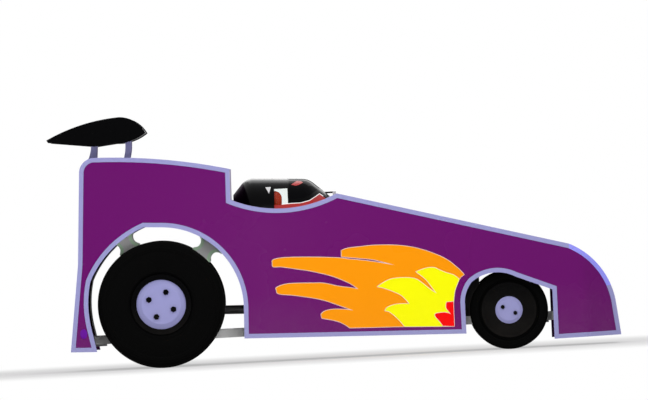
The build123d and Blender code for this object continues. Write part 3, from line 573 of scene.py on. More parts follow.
tyreLooks = {  # rings and grooves are given by their place, half width and height or depth
    "rear": {
        "x": rearAxleX, "halfTrack": 0.635, "radius": 0.457, "half": 0.215, "rim": 0.203, "bead": 0.184, "shoulder": 0.042,
        "wall": 0.013, "steps": 168, "treadFrom": 0.440, "grooves": [(0.148, 0.0012, 0.0008), (0.0, 0.0009, 0.0006)],
        "rings": [
            (0.2385, 0.0030, 0.0016), (0.2470, 0.0016, 0.0008), (0.3880, 0.0022, 0.0010),
            (0.3960, 0.0022, 0.0010), (0.4040, 0.0022, 0.0010),
        ],
    },
    "front": {
        "x": frontAxleX, "halfTrack": 0.590, "radius": 0.282, "half": 0.0575, "rim": 0.190, "bead": 0.044, "shoulder": 0.019,
        "wall": 0.008, "steps": 144, "treadFrom": 0.272, "grooves": [(0.0225, 0.0024, 0.0040), (0.0, 0.0024, 0.0040)],
        "rings": [(0.2075, 0.0018, 0.0009), (0.2500, 0.0014, 0.0006), (0.2550, 0.0014, 0.0006)],
    },
}
rubberLook = {
    "wall": srgb(3, 3, 3), "tread": srgb(24, 23, 22), "specular": 0.04, "rough": (0.72, 0.95), "wearFade": 0.012,
    "streaks": (3.0, 160.0, 1.0), "streakBump": 0.35, "streakDepth": 0.0008, "grainScale": 420, "grainDepth": 0.25,
}


def mirrored(line):
    # a half section and its other half, back from the middle
    return line + [Vector((p.x, -p.y)) for p in reversed(line)]


def tyreHalf(look):
    # from the bead up the wall and round the shoulder to the middle of the tread, as radius and distance along the axle
    rim, bead, half, radius, turn = (look[key] for key in ("rim", "bead", "half", "radius", "shoulder"))
    rise, bulge = radius - rim, half - bead
    edge = half - 0.012 * rise  # the wall leans in towards the tread
    guide = [
        (rim + 0.0002, bead - 0.012), (rim + 0.0004, bead - 0.0014), (rim + 0.0018, bead - 0.0002), (rim + 0.0165, bead - 0.0002),
        (rim + 0.022, bead + 0.25 * bulge), (rim + 0.030, half - 0.30 * bulge), (rim + 0.25 * rise, half - 0.07 * bulge),
        (rim + 0.5 * rise, half),
    ]
    for degrees in range(0, 91, 15):
        angle = math.radians(degrees)
        guide.append((radius - turn + turn * math.sin(angle), edge - turn + turn * math.cos(angle)))
    guide.append((radius, 0.0))
    line = softLine(guide, 4, sharp=(1, 2, 3, len(guide) - 2))
    walls = [p for p in line if p.x < radius - 0.001 or p.y > edge - turn - 0.0001]
    for at, wide, high in look["rings"]:
        base = min(walls, key=lambda p: abs(p.x - at) + (1 if p.x > radius - turn else 0)).y
        walls = [p for p in walls if abs(p.x - at) > wide * 1.1 or p.x < rim + 0.02]
        walls += [Vector((at + share * wide, base + up)) for share, up in ((-1, 0), (-0.5, high), (0.5, high), (1, 0))]
    climb = sorted((p for p in walls if p.x < radius - turn), key=lambda p: (p.x, p.y if p.x < rim + 0.001 else 0))
    bend = sorted((p for p in walls if p.x >= radius - turn), key=lambda p: -p.y)
    tread = []
    for at, wide, deep in look["grooves"]:
        tread += [Vector((radius, at + wide)), Vector((radius - deep, at + 0.6 * wide))]
        if at > 0:
            tread += [Vector((radius - deep, at - 0.6 * wide)), Vector((radius, at - wide))]
    return climb + bend + tread


def tyreLoop(look):
    # the whole section: the outside, then the hollow back to the first bead
    rim, bead, half, radius, wall = (look[key] for key in ("rim", "bead", "half", "radius", "wall"))
    hollow = softLine([
        (rim + 0.0004, bead - 1.9 * wall), (rim + 2.5 * wall, half - 1.6 * wall), (rim + 0.5 * (radius - rim), half - 1.2 * wall),
        (radius - 2.6 * wall, half - 2.2 * wall), (radius - 1.1 * wall, half - 4.2 * wall), (radius - wall, 0.0),
    ], 3)
    hollow += [Vector((p.x, -p.y)) for p in reversed(hollow[:-1])]
    return mirrored(tyreHalf(look)) + list(reversed(hollow))


def turnTyre(name, look, side):
    loop = tyreLoop(look)
    count, steps = len(loop), look["steps"]
    verts, faces = [], []
    for s, (cosine, sine) in enumerate(circle(steps)):
        verts += [(look["x"] + p.x * cosine, side * look["halfTrack"] + p.y, look["radius"] + p.x * sine) for p in loop]
        faces += bandFaces(s * count, (s + 1) % steps * count, count)
    mesh = newMesh(name, verts, faces)
    run = [0.0]
    for i in range(count):
        run.append(run[-1] + (loop[(i + 1) % count] - loop[i]).length)
    wrap = mesh.uv_layers.new(name="tyreWrap")
    around = 2 * math.pi * look["radius"]
    for index, poly in enumerate(mesh.polygons):
        s, i = divmod(index, count)
        corners = [(s, i), (s, i + 1), (s + 1, i + 1), (s + 1, i)]
        for loopIndex, (u, v) in zip(poly.loop_indices, corners):
            wrap.data[loopIndex].uv = (u / steps * around, run[v])
    wear = mesh.attributes.new("treadWear", "FLOAT", "POINT")
    for index, item in enumerate(wear.data):
        item.value = max(0.0, min(1.0, (loop[index % count].x - look["treadFrom"]) / rubberLook["wearFade"]))
    return smoothFaces(turnOutward(mesh))


def makeRubber(name, look):
    # black walls, and a tread that is paler and streaked where it is worn
    material, tree, sockets = newMaterial(name, {"Specular IOR Level": look["specular"]})
    wrap = addNode(tree, "ShaderNodeUVMap", uv_map="tyreWrap").outputs["UV"]
    along = addNode(tree, "ShaderNodeMapping", {"Vector": wrap, "Scale": look["streaks"]}).outputs[0]
    streak = addNode(tree, "ShaderNodeTexNoise", {"Vector": along, "Scale": 1.0, "Detail": 5.0}).outputs["Fac"]
    worn = addNode(tree, "ShaderNodeAttribute", attribute_name="treadWear").outputs["Fac"]
    scrub = addMath(tree, "MULTIPLY", streak, worn)
    rough = addNode(tree, "ShaderNodeMapRange", {"Value": scrub, "To Min": look["rough"][0], "To Max": look["rough"][1]})
    grainLook = {"Scale": look["grainScale"], "Depth": look["grainDepth"], "Stretch": (1, 1, 1)}
    grain = addNode(tree, "ShaderNodeGroup", grainLook, node_tree=fineGrain).outputs["Normal"]
    lines = {"Strength": look["streakBump"], "Distance": look["streakDepth"], "Height": scrub, "Normal": grain}
    tree.links.new(mixColour(tree, scrub, look["wall"], look["tread"]), sockets["Base Color"])
    tree.links.new(rough.outputs["Result"], sockets["Roughness"])
    tree.links.new(addNode(tree, "ShaderNodeBump", lines).outputs["Normal"], sockets["Normal"])
    return material


finishes["slickRubber"] = makeRubber("slickRubber", rubberLook)
for axle, look in tyreLooks.items():
    for side, sideName in ((1, "left"), (-1, "right")):
        name = axle + "Tyre" + sideName.capitalize()
        tyre = addPiece(name, turnTyre(name, look, side), "slickRubber", "tyre", axle + "_wheel_" + sideName)
        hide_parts(axle + "_tyre_" + sideName)
print("tyres turned")


# Geometry Nodes trees that set one small shape on every point

def newTree(name, labels):
    # points in, geometry out; labels come with a kind of socket and a first value
    tree = bpy.data.node_groups.new(name, "GeometryNodeTree")
    tree.interface.new_socket(name="Points", in_out="INPUT", socket_type="NodeSocketGeometry")
    for label, (kind, value) in labels.items():
        socket = tree.interface.new_socket(name=label, in_out="INPUT", socket_type="NodeSocket" + kind)
        if value is not None:
            socket.default_value = value
    tree.interface.new_socket(name="Geometry", in_out="OUTPUT", socket_type="NodeSocketGeometry")
    return tree, tree.nodes.new("NodeGroupInput").outputs


def pointWay(tree, name, axis):
    # a rotation that turns an axis to the way named on each point
    way = addNode(tree, "GeometryNodeInputNamedAttribute", {"Name": name}, data_type="FLOAT_VECTOR")
    return addNode(tree, "FunctionNodeAlignRotationToVector", {"Vector": way.outputs["Attribute"]}, axis=axis).outputs[0]


def setOnPoints(tree, points, shape, rotation):
    values = {"Points": points, "Instance": shape, "Rotation": rotation}
    place = addNode(tree, "GeometryNodeInstanceOnPoints", values)
    return addNode(tree, "GeometryNodeRealizeInstances", {"Geometry": place.outputs[0]}).outputs[0]


headShape = {  # shares of the head's height and radius
    "washerThick": 0.5, "washerSides": 14, "top": 0.72, "slotLong": 1.3, "slotWide": 0.22, "slotDeep": 0.2, "fullTurn": 6.283,
}


def makeHeadTree(shape):
    # a washer, a head and a slot, stood on the surface and turned at random
    tree, given = newTree("headOnPoint", {
        "Washer Radius": ("Float", 0.006), "Head Radius": ("Float", 0.004), "Head Height": ("Float", 0.002),
        "Head Sides": ("Int", 12), "Turn Seed": ("Int", 3), "Slotted": ("Bool", True),
        "Head Finish": ("Material", None), "Slot Finish": ("Material", None),
    })
    high, wide = given["Head Height"], given["Head Radius"]

    def times(value, factor):
        return addMath(tree, "MULTIPLY", value, factor)

    def raised(geometry, height):
        at = addNode(tree, "ShaderNodeCombineXYZ", {"Z": height}).outputs[0]
        return addNode(tree, "GeometryNodeTransform", {"Geometry": geometry, "Translation": at}).outputs[0]

    def joined(*parts):
        join = addNode(tree, "GeometryNodeJoinGeometry")
        for part in parts:
            tree.links.new(part, join.inputs[0])
        return join.outputs[0]

    def painted(geometry, finish):
        return addNode(tree, "GeometryNodeSetMaterial", {"Geometry": geometry, "Material": given[finish]}).outputs[0]

    washer = addNode(tree, "GeometryNodeMeshCylinder", {
        "Vertices": shape["washerSides"], "Radius": given["Washer Radius"], "Depth": times(high, shape["washerThick"]),
    }).outputs["Mesh"]
    head = addNode(tree, "GeometryNodeMeshCone", {
        "Vertices": given["Head Sides"], "Radius Bottom": wide, "Radius Top": times(wide, shape["top"]), "Depth": high,
    }).outputs["Mesh"]
    barSize = addNode(tree, "ShaderNodeCombineXYZ", {
        "X": times(wide, shape["slotLong"]), "Y": times(wide, shape["slotWide"]), "Z": times(high, shape["slotDeep"]),
    })
    bar = addNode(tree, "GeometryNodeMeshCube", {"Size": barSize.outputs[0]}).outputs["Mesh"]
    metal = painted(joined(raised(washer, times(high, shape["washerThick"] / 2)), head), "Head Finish")
    dark = painted(raised(bar, high), "Slot Finish")
    slot = addNode(tree, "GeometryNodeSwitch", {"Switch": given["Slotted"], "True": dark}, input_type="GEOMETRY")
    anyTurn = {3: shape["fullTurn"], "Seed": given["Turn Seed"]}
    spin = addNode(tree, "FunctionNodeRandomValue", anyTurn, data_type="FLOAT").outputs[1]
    angles = addNode(tree, "ShaderNodeCombineXYZ", {"Z": spin}).outputs[0]
    turn = addNode(tree, "FunctionNodeEulerToRotation", {0: angles}).outputs[0]
    stood = {"Rotation": pointWay(tree, "facing", "Z"), "Rotate By": turn}
    turned = addNode(tree, "FunctionNodeRotateRotation", stood, rotation_space="LOCAL").outputs[0]
    heads = setOnPoints(tree, given["Points"], joined(metal, slot.outputs[0]), turned)
    return endGroup(tree, {"Geometry": heads})


def makeStitchTree():
    # a short thread lying along its seam
    tree, given = newTree("stitchOnPoint", {
        "Stitch Length": ("Float", 0.004), "Thread Thickness": ("Float", 0.001), "Thread Finish": ("Material", None),
    })
    thread = addNode(tree, "GeometryNodeMeshUVSphere", {"Segments": 6, "Rings": 4, "Radius": 0.5}).outputs["Mesh"]
    thin = given["Thread Thickness"]
    size = addNode(tree, "ShaderNodeCombineXYZ", {"X": given["Stitch Length"], "Y": thin, "Z": thin}).outputs[0]
    stitch = addNode(tree, "GeometryNodeTransform", {"Geometry": thread, "Scale": size}).outputs[0]
    rows = setOnPoints(tree, given["Points"], stitch, pointWay(tree, "along", "X"))
    painted = addNode(tree, "GeometryNodeSetMaterial", {"Geometry": rows, "Material": given["Thread Finish"]})
    return endGroup(tree, {"Geometry": painted.outputs[0]})


headTree, stitchTree = makeHeadTree(headShape), makeStitchTree()


def evaluatedMesh(piece):
    bpy.context.view_layer.update()
    return bpy.data.meshes.new_from_object(piece.evaluated_get(bpy.context.evaluated_depsgraph_get()))


def runTree(name, tree, points, wayName, ways, values):
    # a cloud of points goes through a tree and comes back as a plain mesh
    cloud = newMesh(name + "Spots", points, [])
    for item, way in zip(cloud.attributes.new(wayName, "FLOAT_VECTOR", "POINT").data, ways):
        item.vector = way
    holder = linkObject(name + "Spots", cloud)
    nodesModifier = holder.modifiers.new("setOnPoints", "NODES")
    nodesModifier.node_group = tree
    for item in tree.interface.items_tree:
        if item.in_out == "INPUT" and item.name in values:
            nodesModifier[item.identifier] = values[item.name]
    mesh = evaluatedMesh(holder)
    mesh.name = name
    holder.modifiers.remove(nodesModifier)
    bpy.data.objects.remove(holder)
    return mesh


def setHeads(name, spots, look, finish, slot, body):
    # spots are pairs of a place and the way the surface faces, or None where there is no surface
    spots = [s for s in spots if s]
    mesh = runTree(name, headTree, [s[0] for s in spots], "facing", [s[1] for s in spots], {
        "Washer Radius": look["washer"], "Head Radius": look["head"], "Head Height": look["high"], "Head Sides": look["sides"],
        "Turn Seed": look["seed"], "Slotted": look["slotted"], "Head Finish": finishes[finish], "Slot Finish": finishes["blackPlastic"],
    })
    for poly in mesh.polygons:
        poly.use_smooth = False
    addPiece(name, mesh, finish, slot, body)


def steppedRow(x, end, pitch):
    # numbers a pitch apart, short of the end
    while x < end:
        yield x
        x += pitch


def walkLine(line, pitch):
    # the middle of each even step along a line, and the way the line runs there
    for a, b in zip(line, line[1:]):
        steps = max(1, round((b - a).length / pitch))
        for k in range(steps):
            yield a.lerp(b, (k + 0.5) / steps), b - a


# Screws, rivets and bolts on the solids

panelFixings = {
    "inset": 0.034, "pitch": 0.150, "washer": 0.0085, "head": 0.0060, "high": 0.0022, "sides": 14, "seed": 11, "slotted": True,
    "deckRow": (-1.640, -0.74), "deckHigh": 1.5, "hoodRow": (0.110, 1.90), "hoodFrom": 0.036, "hoodHigh": 1.18, "hoodFall": 0.2736,
    "coverFrom": 1.70, "coverHigh": 0.6, "tailRows": (0.26, 0.44, 0.62, 0.80, 0.98, 1.16, 1.34), "tailEnds": (0.19, 1.41),
    "tailX": -1.9, "acrossCount": 4,
    "across": (-0.752, 0.064, 1.084, 1.120),  # the deck's front edge, the hood's back edge, both sides of the joint
}
mouldingRivets = {
    "pitch": 0.090, "washer": 0.0036, "head": 0.0030, "high": 0.0013, "sides": 12, "seed": 5, "slotted": False, "leastFacing": 0.9,
    "runs": [  # the mouldings' middle line, millimetres from the rear axle and the floor
        [(-648, 165), (-564, 774), (-521, 1436), (-492, 1492), (-422, 1519), (56, 1482), (526, 1391), (520, 1172), (700, 1108),
         (925, 1083), (1120, 1106), (1300, 1170), (2952, 719)],
        [(2952, 719), (3010, 684), (3143, 567), (3210, 450), (3253, 315), (3280, 90)],
        [(-500, 160), (-531, 330), (-541, 490), (-517, 655), (-345, 887), (-98, 1038), (46, 1030), (460, 830), (612, 420), (604, 200)],
        [(604, 198), (1400, 165), (2166, 148), (2180, 330), (2236, 510), (2386, 575), (2562, 538), (2838, 420), (2834, 76)],
        [(2850, 76), (3270, 80)],
    ],
}
paneScrews = {
    "washer": 0.0034, "head": 0.0028, "high": 0.0012, "sides": 12, "seed": 7, "slotted": True,
    "hoops": (-0.424, -0.312), "hoopMiddle": 0.96, "castFrom": 0.6, "spread": range(-80, 81, 16),
    "spine": (-0.25, -0.17, -0.09), "spineHalf": 0.011, "above": 1.12,
}
plateScrews = {
    "washer": 0.0080, "head": 0.0058, "high": 0.0026, "sides": 14, "seed": 9, "slotted": True,
    "places": ((-690, 1682), (-560, 1702), (-430, 1714), (-300, 1726), (-170, 1718)),
}
floorRivets = {
    "washer": 0.0058, "head": 0.0046, "high": 0.0015, "sides": 12, "seed": 4, "slotted": False, "inset": 0.030, "pitch": 0.075,
    "railInset": 0.025, "endInset": 0.020, "floorHigh": 0.17, "across": (0.0, 0.745), "acrossCount": 9, "leastFacing": 0.99,
}
rimBolts = {
    "circle": 0.2030, "count": 16, "washer": 0.0068, "head": 0.0052, "high": 0.0040, "sides": 6, "seed": 2, "slotted": False,
}


def panelSpots(look):
    # along both edges of the deck and the hood, across their ends, and round the tail panel
    sheets = wallTree("rear_deck", "hood", "nose_cover", "tail_panel", "cockpit_deck")
    acrossCar = [step * look["pitch"] for step in range(-look["acrossCount"], look["acrossCount"] + 1)]
    spots = []
    for x in steppedRow(*look["deckRow"], look["pitch"]):
        spots += [fromAbove(sheets, x, side * (sideHalf(x, look["deckHigh"]) - look["inset"])) for side in (1, -1)]
    for x in steppedRow(*look["hoodRow"], look["pitch"]):
        high = look["hoodHigh"] - look["hoodFall"] * (x - look["hoodFrom"]) if x < look["coverFrom"] else look["coverHigh"]
        spots += [fromAbove(sheets, x, side * (sideHalf(x, high) - look["inset"])) for side in (1, -1)]
    for x in look["across"]:
        spots += [fromAbove(sheets, x, y) for y in acrossCar]
    for z in look["tailRows"]:
        spots += [fromBehind(sheets, side * (sideHalf(look["tailX"], z) - look["inset"]), z) for side in (1, -1)]
    for y in acrossCar:
        spots += [fromBehind(sheets, y, z) for z in look["tailEnds"]]
    return spots


def mouldingSpots(look):
    trims = wallTree("edge_trims", "nose_band")
    spots = []
    for run in look["runs"]:
        for at, _ in walkLine([drawn(*p) for p in run], look["pitch"]):
            spots += [fromSide(trims, at.x, at.y, side) for side in (1, -1)]
    return [s for s in spots if s and abs(s[1].y) > look["leastFacing"]]


def paneSpots(look):
    # over two hoops of the canopy's frame and along its spine
    canopyFrame = wallTree("canopy_frame")
    spots = []
    for x in look["hoops"]:
        for degrees in look["spread"]:
            out = Vector((0, math.sin(math.radians(degrees)), math.cos(math.radians(degrees))))
            spots.append(spotOn(canopyFrame, Vector((x, 0, look["hoopMiddle"])) + out * look["castFrom"], -out))
    for x in look["spine"]:
        spots += [fromAbove(canopyFrame, x, side * look["spineHalf"], start=1.6) for side in (1, -1)]
    return [s for s in spots if s and s[0].z > look["above"]]


def floorSpots(look):
    # under the floor, beside the rails and the sides, and across both ends and the middle, clear of the jack pads
    pans, jackPads = wallTree("floor_pans"), wallTree("service_points")
    low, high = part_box("floor_pans")
    first = low[0] + look["endInset"]
    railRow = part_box("chassis_rails")[1][1] - look["railInset"]
    spots = []
    for k in range(int((high[0] - low[0]) / look["pitch"])):
        x = first + k * look["pitch"]
        for y in (railRow, sideHalf(x, look["floorHigh"]) - look["inset"]):
            spots += [fromBelow(pans, x, side * y) for side in (1, -1) if not fromBelow(jackPads, x, side * y)]
    for x in (first, *look["across"]):
        spots += [fromBelow(pans, x, step * look["pitch"]) for step in range(-look["acrossCount"], look["acrossCount"] + 1)]
    return [s for s in spots if s and s[1].z < -look["leastFacing"]]


setHeads("panelFixings", panelSpots(panelFixings), panelFixings, "brightSteel", "bright_steel", "chassis")
setHeads("mouldingRivets", mouldingSpots(mouldingRivets), mouldingRivets, "lavenderPaint", "moulding_lavender", "chassis")
setHeads("paneScrews", paneSpots(paneScrews), paneScrews, "blackPaint", "black_gloss", "canopy")
wing = wallTree("wing")
spots = [fromSide(wing, *drawn(*place), side) for place in plateScrews["places"] for side in (1, -1)]
setHeads("wingPlateScrews", spots, plateScrews, "blackPaint", "black_gloss", "chassis")
setHeads("floorRivets", floorSpots(floorRivets), floorRivets, "sheetAluminium", "sheet_aluminium", "chassis")
for side, sideName in ((1, "left"), (-1, "right")):
    rim = wallTree("rear_rim_" + sideName)
    spots = []
    for cosine, sine in circle(rimBolts["count"], 0.5):
        high = tyreLooks["rear"]["radius"] + rimBolts["circle"] * sine
        spots.append(fromSide(rim, rearAxleX + rimBolts["circle"] * cosine, high, side, start=1.2))
    setHeads("rimBolts" + sideName.capitalize(), spots, rimBolts, "blackPaint", "black_gloss", "rear_wheel_" + sideName)
print("fasteners set")


# Small inlays on the canopy, the white one a painted highlight, and a cap low on each rear quarter

inlayLook = {
    "lift": 0.0012, "thickness": 0.0010, "rings": (0.2, 0.4, 0.6, 0.8),
    "inlays": [  # name, outline in millimetres from the rear axle and the floor, points to a side, finish, slot
        # the white triangle is a painted highlight on the canopy's rear; the red shape is a red inlay
        ("paintedHighlightFlash", [(792, 1259), (832, 1259), (816, 1211)], 4, "paintedHighlightWhite", "black_gloss"),
        ("redFlash", [(979, 1268), (1020, 1293), (1051, 1289), (1066, 1280), (1037, 1264), (1011, 1259)], 6, "redInlay", "red_paint"),
    ],
}
capLook = {
    "place": (-567, 275), "radiusX": 0.026, "radiusZ": 0.036, "high": 0.006, "steps": 40,
    "rings": [(1.0, -0.2), (1.0, 0.35), (0.94, 0.62), (0.86, 0.70), (0.80, 0.58), (0.74, 0.60), (0.50, 0.86), (0.22, 0.98)],
}
canopySkin = wallTree("canopy_frame", "canopy_glass", "side_windows")


def layInlay(name, outline, steps, side, finish, slot):
    # a flat outline filled and dropped on the canopy from the side
    line = [drawn(*p) for p in outline]
    points = []
    for a, b in zip(line, line[1:] + line[:1]):
        points += [a.lerp(b, k / steps) for k in range(steps)]
    count = len(points)
    middle = sum(line, Vector((0, 0))) / len(line)
    for share in inlayLook["rings"]:
        points += [middle.lerp(p, share) for p in points[:count]]
    flat, faces = fillOutline(points, count)
    spots = [fromSide(canopySkin, p.x, p.y, side, start=1.0) for p in flat]
    verts = [place + way * inlayLook["lift"] for place, way in spots]
    mesh = closedFilm(name, verts, [way for _, way in spots], faces, inlayLook["thickness"])
    addPiece(name, mesh, finish, slot, "canopy")


def sideCap(name, side, look):
    # an oval plug with a rolled edge on the side's skin
    centre = fromSide(sideWall, *drawn(*look["place"]), side)[0]
    lean = Vector((0, side, math.tan(bodyLook["lean"]))).normalized()
    along, up = Vector((1, 0, 0)), Vector((0, -lean.z * side, abs(lean.y)))
    verts, faces, steps, last = [], [], look["steps"], len(look["rings"]) - 1
    for scale, high in look["rings"]:
        for cosine, sine in circle(steps):
            wide = along * look["radiusX"] * scale * cosine + up * look["radiusZ"] * scale * sine
            verts.append(centre + wide + lean * look["high"] * high)
    for ring in range(last):
        faces += bandFaces(ring * steps, (ring + 1) * steps, steps)
    faces += [list(range(last * steps, (last + 1) * steps)), list(range(steps))[::-1]]
    mesh = turnOutward(newMesh(name, verts, faces))
    for poly in mesh.polygons:
        poly.use_smooth = len(poly.vertices) == 4
    addPiece(name, mesh, "violetCap", "body_purple", "chassis")


for side, sideName in ((-1, "Right"), (1, "Left")):
    for name, outline, steps, finish, slot in inlayLook["inlays"]:
        layInlay(name + sideName, outline, steps, side, finish, slot)
    sideCap("sideCap" + sideName, side, capLook)
print("inlays and caps laid")


# Seat: a moulded shell with wings and two padded cushions, and three head pads above it

seatLook = {
    "half": 0.208, "shell": 0.006, "round": 0.0022, "roundSteps": 2, "sharpFrom": 35,
    "pan": [  # side-view lines in metres
        (-0.262, 0.447), (-0.30, 0.447), (-0.560, 0.447), (-0.600, 0.457), (-0.628, 0.488), (-0.640, 0.543), (-0.650, 0.793),
        (-0.653, 1.084),
    ],
    "wing": [
        (-0.652, 0.446), (-0.285, 0.446), (-0.282, 0.545), (-0.340, 0.560), (-0.470, 0.640), (-0.525, 0.760), (-0.535, 0.885),
        (-0.652, 0.895),
    ],
}
clothLook = {
    "voxel": 0.006, "round": 0.012, "roundSteps": 3, "pressure": 4.0, "cap": 0.010, "frames": 20,
    "quality": 5, "mass": 0.3, "stretch": 15, "bend": 0.5,
}
cushionLook = {
    "half": 0.165, "depth": 0.0070, "width": 0.0075, "fill": 0.7, "piping": 0.0035, "pipingSink": 0.0008, "pipingHalf": 0.160,
    "seamGap": 0.010, "leastFacing": 0.3, "fullFacing": 0.7,
    "cushions": {
        "baseCushion": {
            "outline": [(-0.275, 0.466), (-0.275, 0.512), (-0.40, 0.518), (-0.535, 0.512), (-0.535, 0.466)], "up": (0, 0, 1),
            "channels": (-0.060, 0.060), "seam": ((-0.290, 0.545), (-0.520, 0.545)),
            "middle": (-0.405, 0, 0.53), "long": 0.125, "way": (1, 0, 0),
        },
        "backCushion": {
            "outline": [(-0.632, 0.545), (-0.575, 0.545), (-0.582, 0.75), (-0.600, 1.062), (-0.640, 1.062)], "up": (1, 0, 0.06),
            "channels": (-0.050, 0.050), "seam": ((-0.54, 0.57), (-0.56, 1.04)),
            "middle": (-0.56, 0, 0.805), "long": 0.250, "way": (-0.08, 0, 1),
        },
    },
}
headPadLook = {
    "inset": 0.008, "cap": 0.006, "voxel": 0.005, "fill": 0.85, "piping": 0.0028, "pipingSink": 0.0006, "foot": 1.118,
    "backDeep": 0.056, "backHalf": 0.132, "backTop": (1.214, 1.222), "backSeam": (0.09, 0.115, 1.168),
    "sideFront": [(0.020, 1.118), (0.008, 1.130), (0.008, 1.190), (0.024, 1.218), (0.052, 1.230)], "sideBackTop": 1.228,
    "sideFrom": 0.142, "sideTo": 0.178, "sideSeam": (0.03, 0.10, 1.172), "rim": (0.12, 0.078, 0.046),
}
stitchLook = {"length": 0.0042, "thick": 0.0011, "pitch": 0.0075, "lift": 0.0002}


def shellMesh(look):
    # the pan and back as one bent sheet, and a flat wing on each side
    line, half = softLine(look["pan"], 5), look["half"]
    verts = [(p.x, side * half, p.y) for p in line for side in (-1, 1)]
    faces = [(2 * i, 2 * i + 1, 2 * i + 3, 2 * i + 2) for i in range(len(line) - 1)]
    for side in (-1, 1):
        faces.append(list(range(len(verts), len(verts) + len(look["wing"]))))
        verts += [(x, side * half, z) for x, z in look["wing"]]
    return newMesh("seatShell", verts, faces)


def closedPrism(name, outline, y0, y1):
    # a side-view outline between two planes, closed
    count = len(outline)
    verts = [(x, y, z) for y in (y0, y1) for x, z in outline]
    faces = [list(range(count)), list(reversed(range(count, 2 * count)))] + bandFaces(0, count, count)
    return turnOutward(newMesh(name, verts, faces))


def bakeModifiers(piece):
    # the evaluated shape as a plain mesh, with no modifier left
    baked, old = evaluatedMesh(piece), piece.data
    piece.modifiers.clear()
    piece.data = baked
    bpy.data.meshes.remove(old)


def addBevel(piece, look):
    bevel = piece.modifiers.new("round", "BEVEL")
    bevel.width = look["round"]
    bevel.segments = look["roundSteps"]


def blowUp(pad, look):
    # air pressure for some frames, with no point moved further than the cap
    start = [v.co.copy() for v in pad.data.vertices]
    air = pad.modifiers.new("air", "CLOTH")
    air.settings.quality = look["quality"]
    air.settings.mass = look["mass"]
    air.settings.use_pressure = True
    air.settings.uniform_pressure_force = look["pressure"]
    air.settings.tension_stiffness = look["stretch"]
    air.settings.compression_stiffness = look["stretch"]
    air.settings.bending_stiffness = look["bend"]
    air.settings.effector_weights.gravity = 0
    air.point_cache.frame_start = 1
    air.point_cache.frame_end = look["frames"]
    for step in range(1, look["frames"] + 1):
        bpy.context.scene.frame_set(step)
    swollen = pad.evaluated_get(bpy.context.evaluated_depsgraph_get()).data
    for vertex, before, after in zip(pad.data.vertices, start, [v.co.copy() for v in swollen.vertices]):
        move = after - before
        if move.length > look["cap"]:
            move *= look["cap"] / move.length
        vertex.co = before + move
    pad.modifiers.remove(air)
    bpy.context.scene.frame_set(1)


def swellPad(name, outline, y0, y1, look):
    # a cut block becomes a stuffed pad: even mesh, air pressure, one subdivision
    pad = linkObject(name, closedPrism(name, outline, y0, y1))
    addBevel(pad, look)
    even = pad.modifiers.new("even", "REMESH")
    even.mode = "VOXEL"
    even.voxel_size = look["voxel"]
    bakeModifiers(pad)
    blowUp(pad, look)
    fine = pad.modifiers.new("fine", "SUBSURF")
    fine.levels = 1
    fine.render_levels = 1
    bakeModifiers(pad)
    smoothFaces(pad.data)
    return pad


def sewChannels(pad, channels, up, look):
    # sewn lines along the pad pull its top skin down
    pad.data.update()
    normals = [v.normal.copy() for v in pad.data.vertices]
    for vertex, normal in zip(pad.data.vertices, normals):
        facing = normal.dot(up)
        if facing < look["leastFacing"]:
            continue
        near = min(abs(vertex.co.y - at) for at in channels)
        share = min(1.0, (facing - look["leastFacing"]) / (look["fullFacing"] - look["leastFacing"]))
        vertex.co -= up * (math.exp(-(near / look["width"]) ** 2) * look["depth"] * share)
    pad.data.update()


def dressPad(pad, finish, slot, fill):
    dressPiece(pad, finish, slot, "chassis")
    return meshTree([pad.data])


def ovalRoute(middle, sizeA, sizeB, axisA, axisB, power=5.0, steps=96):
    # a rounded rectangle as a closed row of points
    route = []
    for pair in circle(steps):
        a, b = (math.copysign(abs(share) ** (2 / power), share) for share in pair)
        route.append(Vector(middle) + Vector(axisA) * (a * sizeA) + Vector(axisB) * (b * sizeB))
    return route


def addPiping(name, tree, route, look, slot):
    # a round bead along a closed route, drawn to the pad's skin and sunk a little
    drawnIn = []
    for p in route:
        place, normal, *_ = tree.find_nearest(p)
        drawnIn.append(place - normal * look["pipingSink"])
    sides, count, offRoute = 8, len(route), Vector((0.137, 0.262, 0.955))
    verts, faces = [], []
    for i, p in enumerate(drawnIn):
        along = (drawnIn[(i + 1) % count] - drawnIn[i - 1]).normalized()
        across = along.cross(offRoute).normalized()
        up = across.cross(along)
        verts += [p + (across * cosine + up * sine) * look["piping"] for cosine, sine in circle(sides)]
        faces += bandFaces(i * sides, (i + 1) % count * sides, sides)
    addPiece(name, smoothFaces(turnOutward(newMesh(name, verts, faces))), "darkBead", slot, "chassis")


def seamSpots(tree, start, end):
    # where the stitches of a straight seam lie on a pad, and the way each runs
    spots = []
    for at, way in walkLine([Vector(start), Vector(end)], stitchLook["pitch"]):
        place, normal, *_ = tree.find_nearest(at)
        spots.append((place + normal * stitchLook["lift"], way.normalized()))
    return spots


def setStitches(name, spots, slot):
    mesh = runTree(name, stitchTree, [s[0] for s in spots], "along", [s[1] for s in spots], {
        "Stitch Length": stitchLook["length"], "Thread Thickness": stitchLook["thick"], "Thread Finish": finishes["paleThread"],
    })
    addPiece(name, smoothFaces(mesh), "paleThread", slot, "chassis")


shell = linkObject("seatShell", shellMesh(seatLook))
thick = shell.modifiers.new("thick", "SOLIDIFY")
thick.thickness = seatLook["shell"]
thick.offset = 0.0
addBevel(shell, seatLook)
bakeModifiers(shell)
rework(shell.data, lambda bm: bmesh.ops.dissolve_degenerate(bm, dist=1e-6, edges=bm.edges))
smoothFaces(shell.data, seatLook["sharpFrom"])
dressPiece(shell, "blackPlastic", "black_plastic", "chassis")
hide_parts("seat")

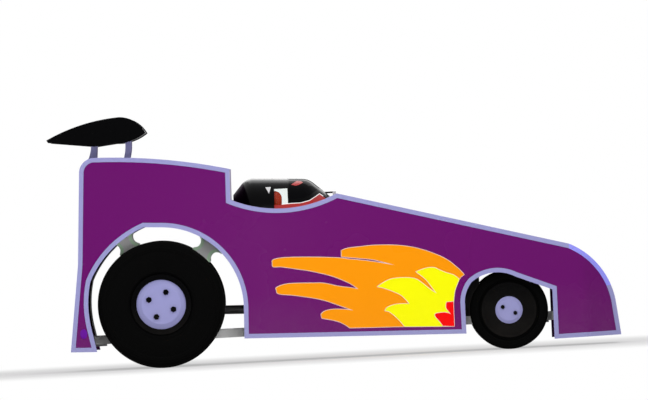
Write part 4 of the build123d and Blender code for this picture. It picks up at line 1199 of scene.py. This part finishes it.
half = cushionLook["half"]
trees, spots = {}, []
for name, look in cushionLook["cushions"].items():
    cushion = swellPad(name, look["outline"], -half, half, clothLook)
    sewChannels(cushion, look["channels"], Vector(look["up"]).normalized(), cushionLook)
    trees[name] = dressPad(cushion, "redLeather", "red_trim", cushionLook["fill"])
    for channel in look["channels"]:
        for y in (channel - cushionLook["seamGap"], channel + cushionLook["seamGap"]):
            spots += seamSpots(trees[name], *((x, y, z) for x, z in look["seam"]))
setStitches("cushionStitches", spots, "red_trim")
for name, look in cushionLook["cushions"].items():
    route = ovalRoute(look["middle"], look["long"], cushionLook["pipingHalf"], look["way"], (0, 1, 0))
    addPiping(name + "Piping", trees[name], route, cushionLook, "red_trim")
print("seat and cushions made")

# one pad behind the head and one each side, inside the canopy
(lowX, *_), (highX, *_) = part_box("head_pads")
look = headPadLook
padCloth = dict(clothLook, voxel=look["voxel"], cap=look["cap"])
inset, foot, half = look["inset"], look["foot"], look["backHalf"]
backX, deepX = lowX + inset, lowX + look["backDeep"] - inset
frontTop, backTop = look["backTop"]
headPadBack = swellPad("headPadBack", [(backX, foot), (deepX, foot), (deepX, frontTop), (backX, backTop)], -half, half, padCloth)
backTree = dressPad(headPadBack, "orangeLeather", "orange_pad", look["fill"])
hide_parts("head_pads")
ahead, out, high = look["backSeam"]
spots = seamSpots(backTree, (lowX + ahead, -out, high), (lowX + ahead, out, high))
sideOutline = [(backX, foot), *((highX - back, z) for back, z in look["sideFront"]), (backX, look["sideBackTop"])]
for side, sideName in ((-1, "Right"), (1, "Left")):
    y0, y1 = sorted((side * (look["sideFrom"] + inset), side * (look["sideTo"] - inset)))
    sidePad = swellPad("headPad" + sideName, sideOutline, y0, y1, padCloth)
    sideTree = dressPad(sidePad, "orangeLeather", "orange_pad", look["fill"])
    ends, out, high = look["sideSeam"]
    spots += seamSpots(sideTree, (lowX + ends, side * out, high), (highX - ends, side * out, high))
    out, long, tall = look["rim"]
    route = ovalRoute(((lowX + highX) / 2, side * out, high), long, tall, (1, 0, 0), (0, 0, 1))
    addPiping("headPadPiping" + sideName, sideTree, route, look, "orange_pad")
setStitches("headPadStitches", spots, "orange_pad")
print("head pads made")
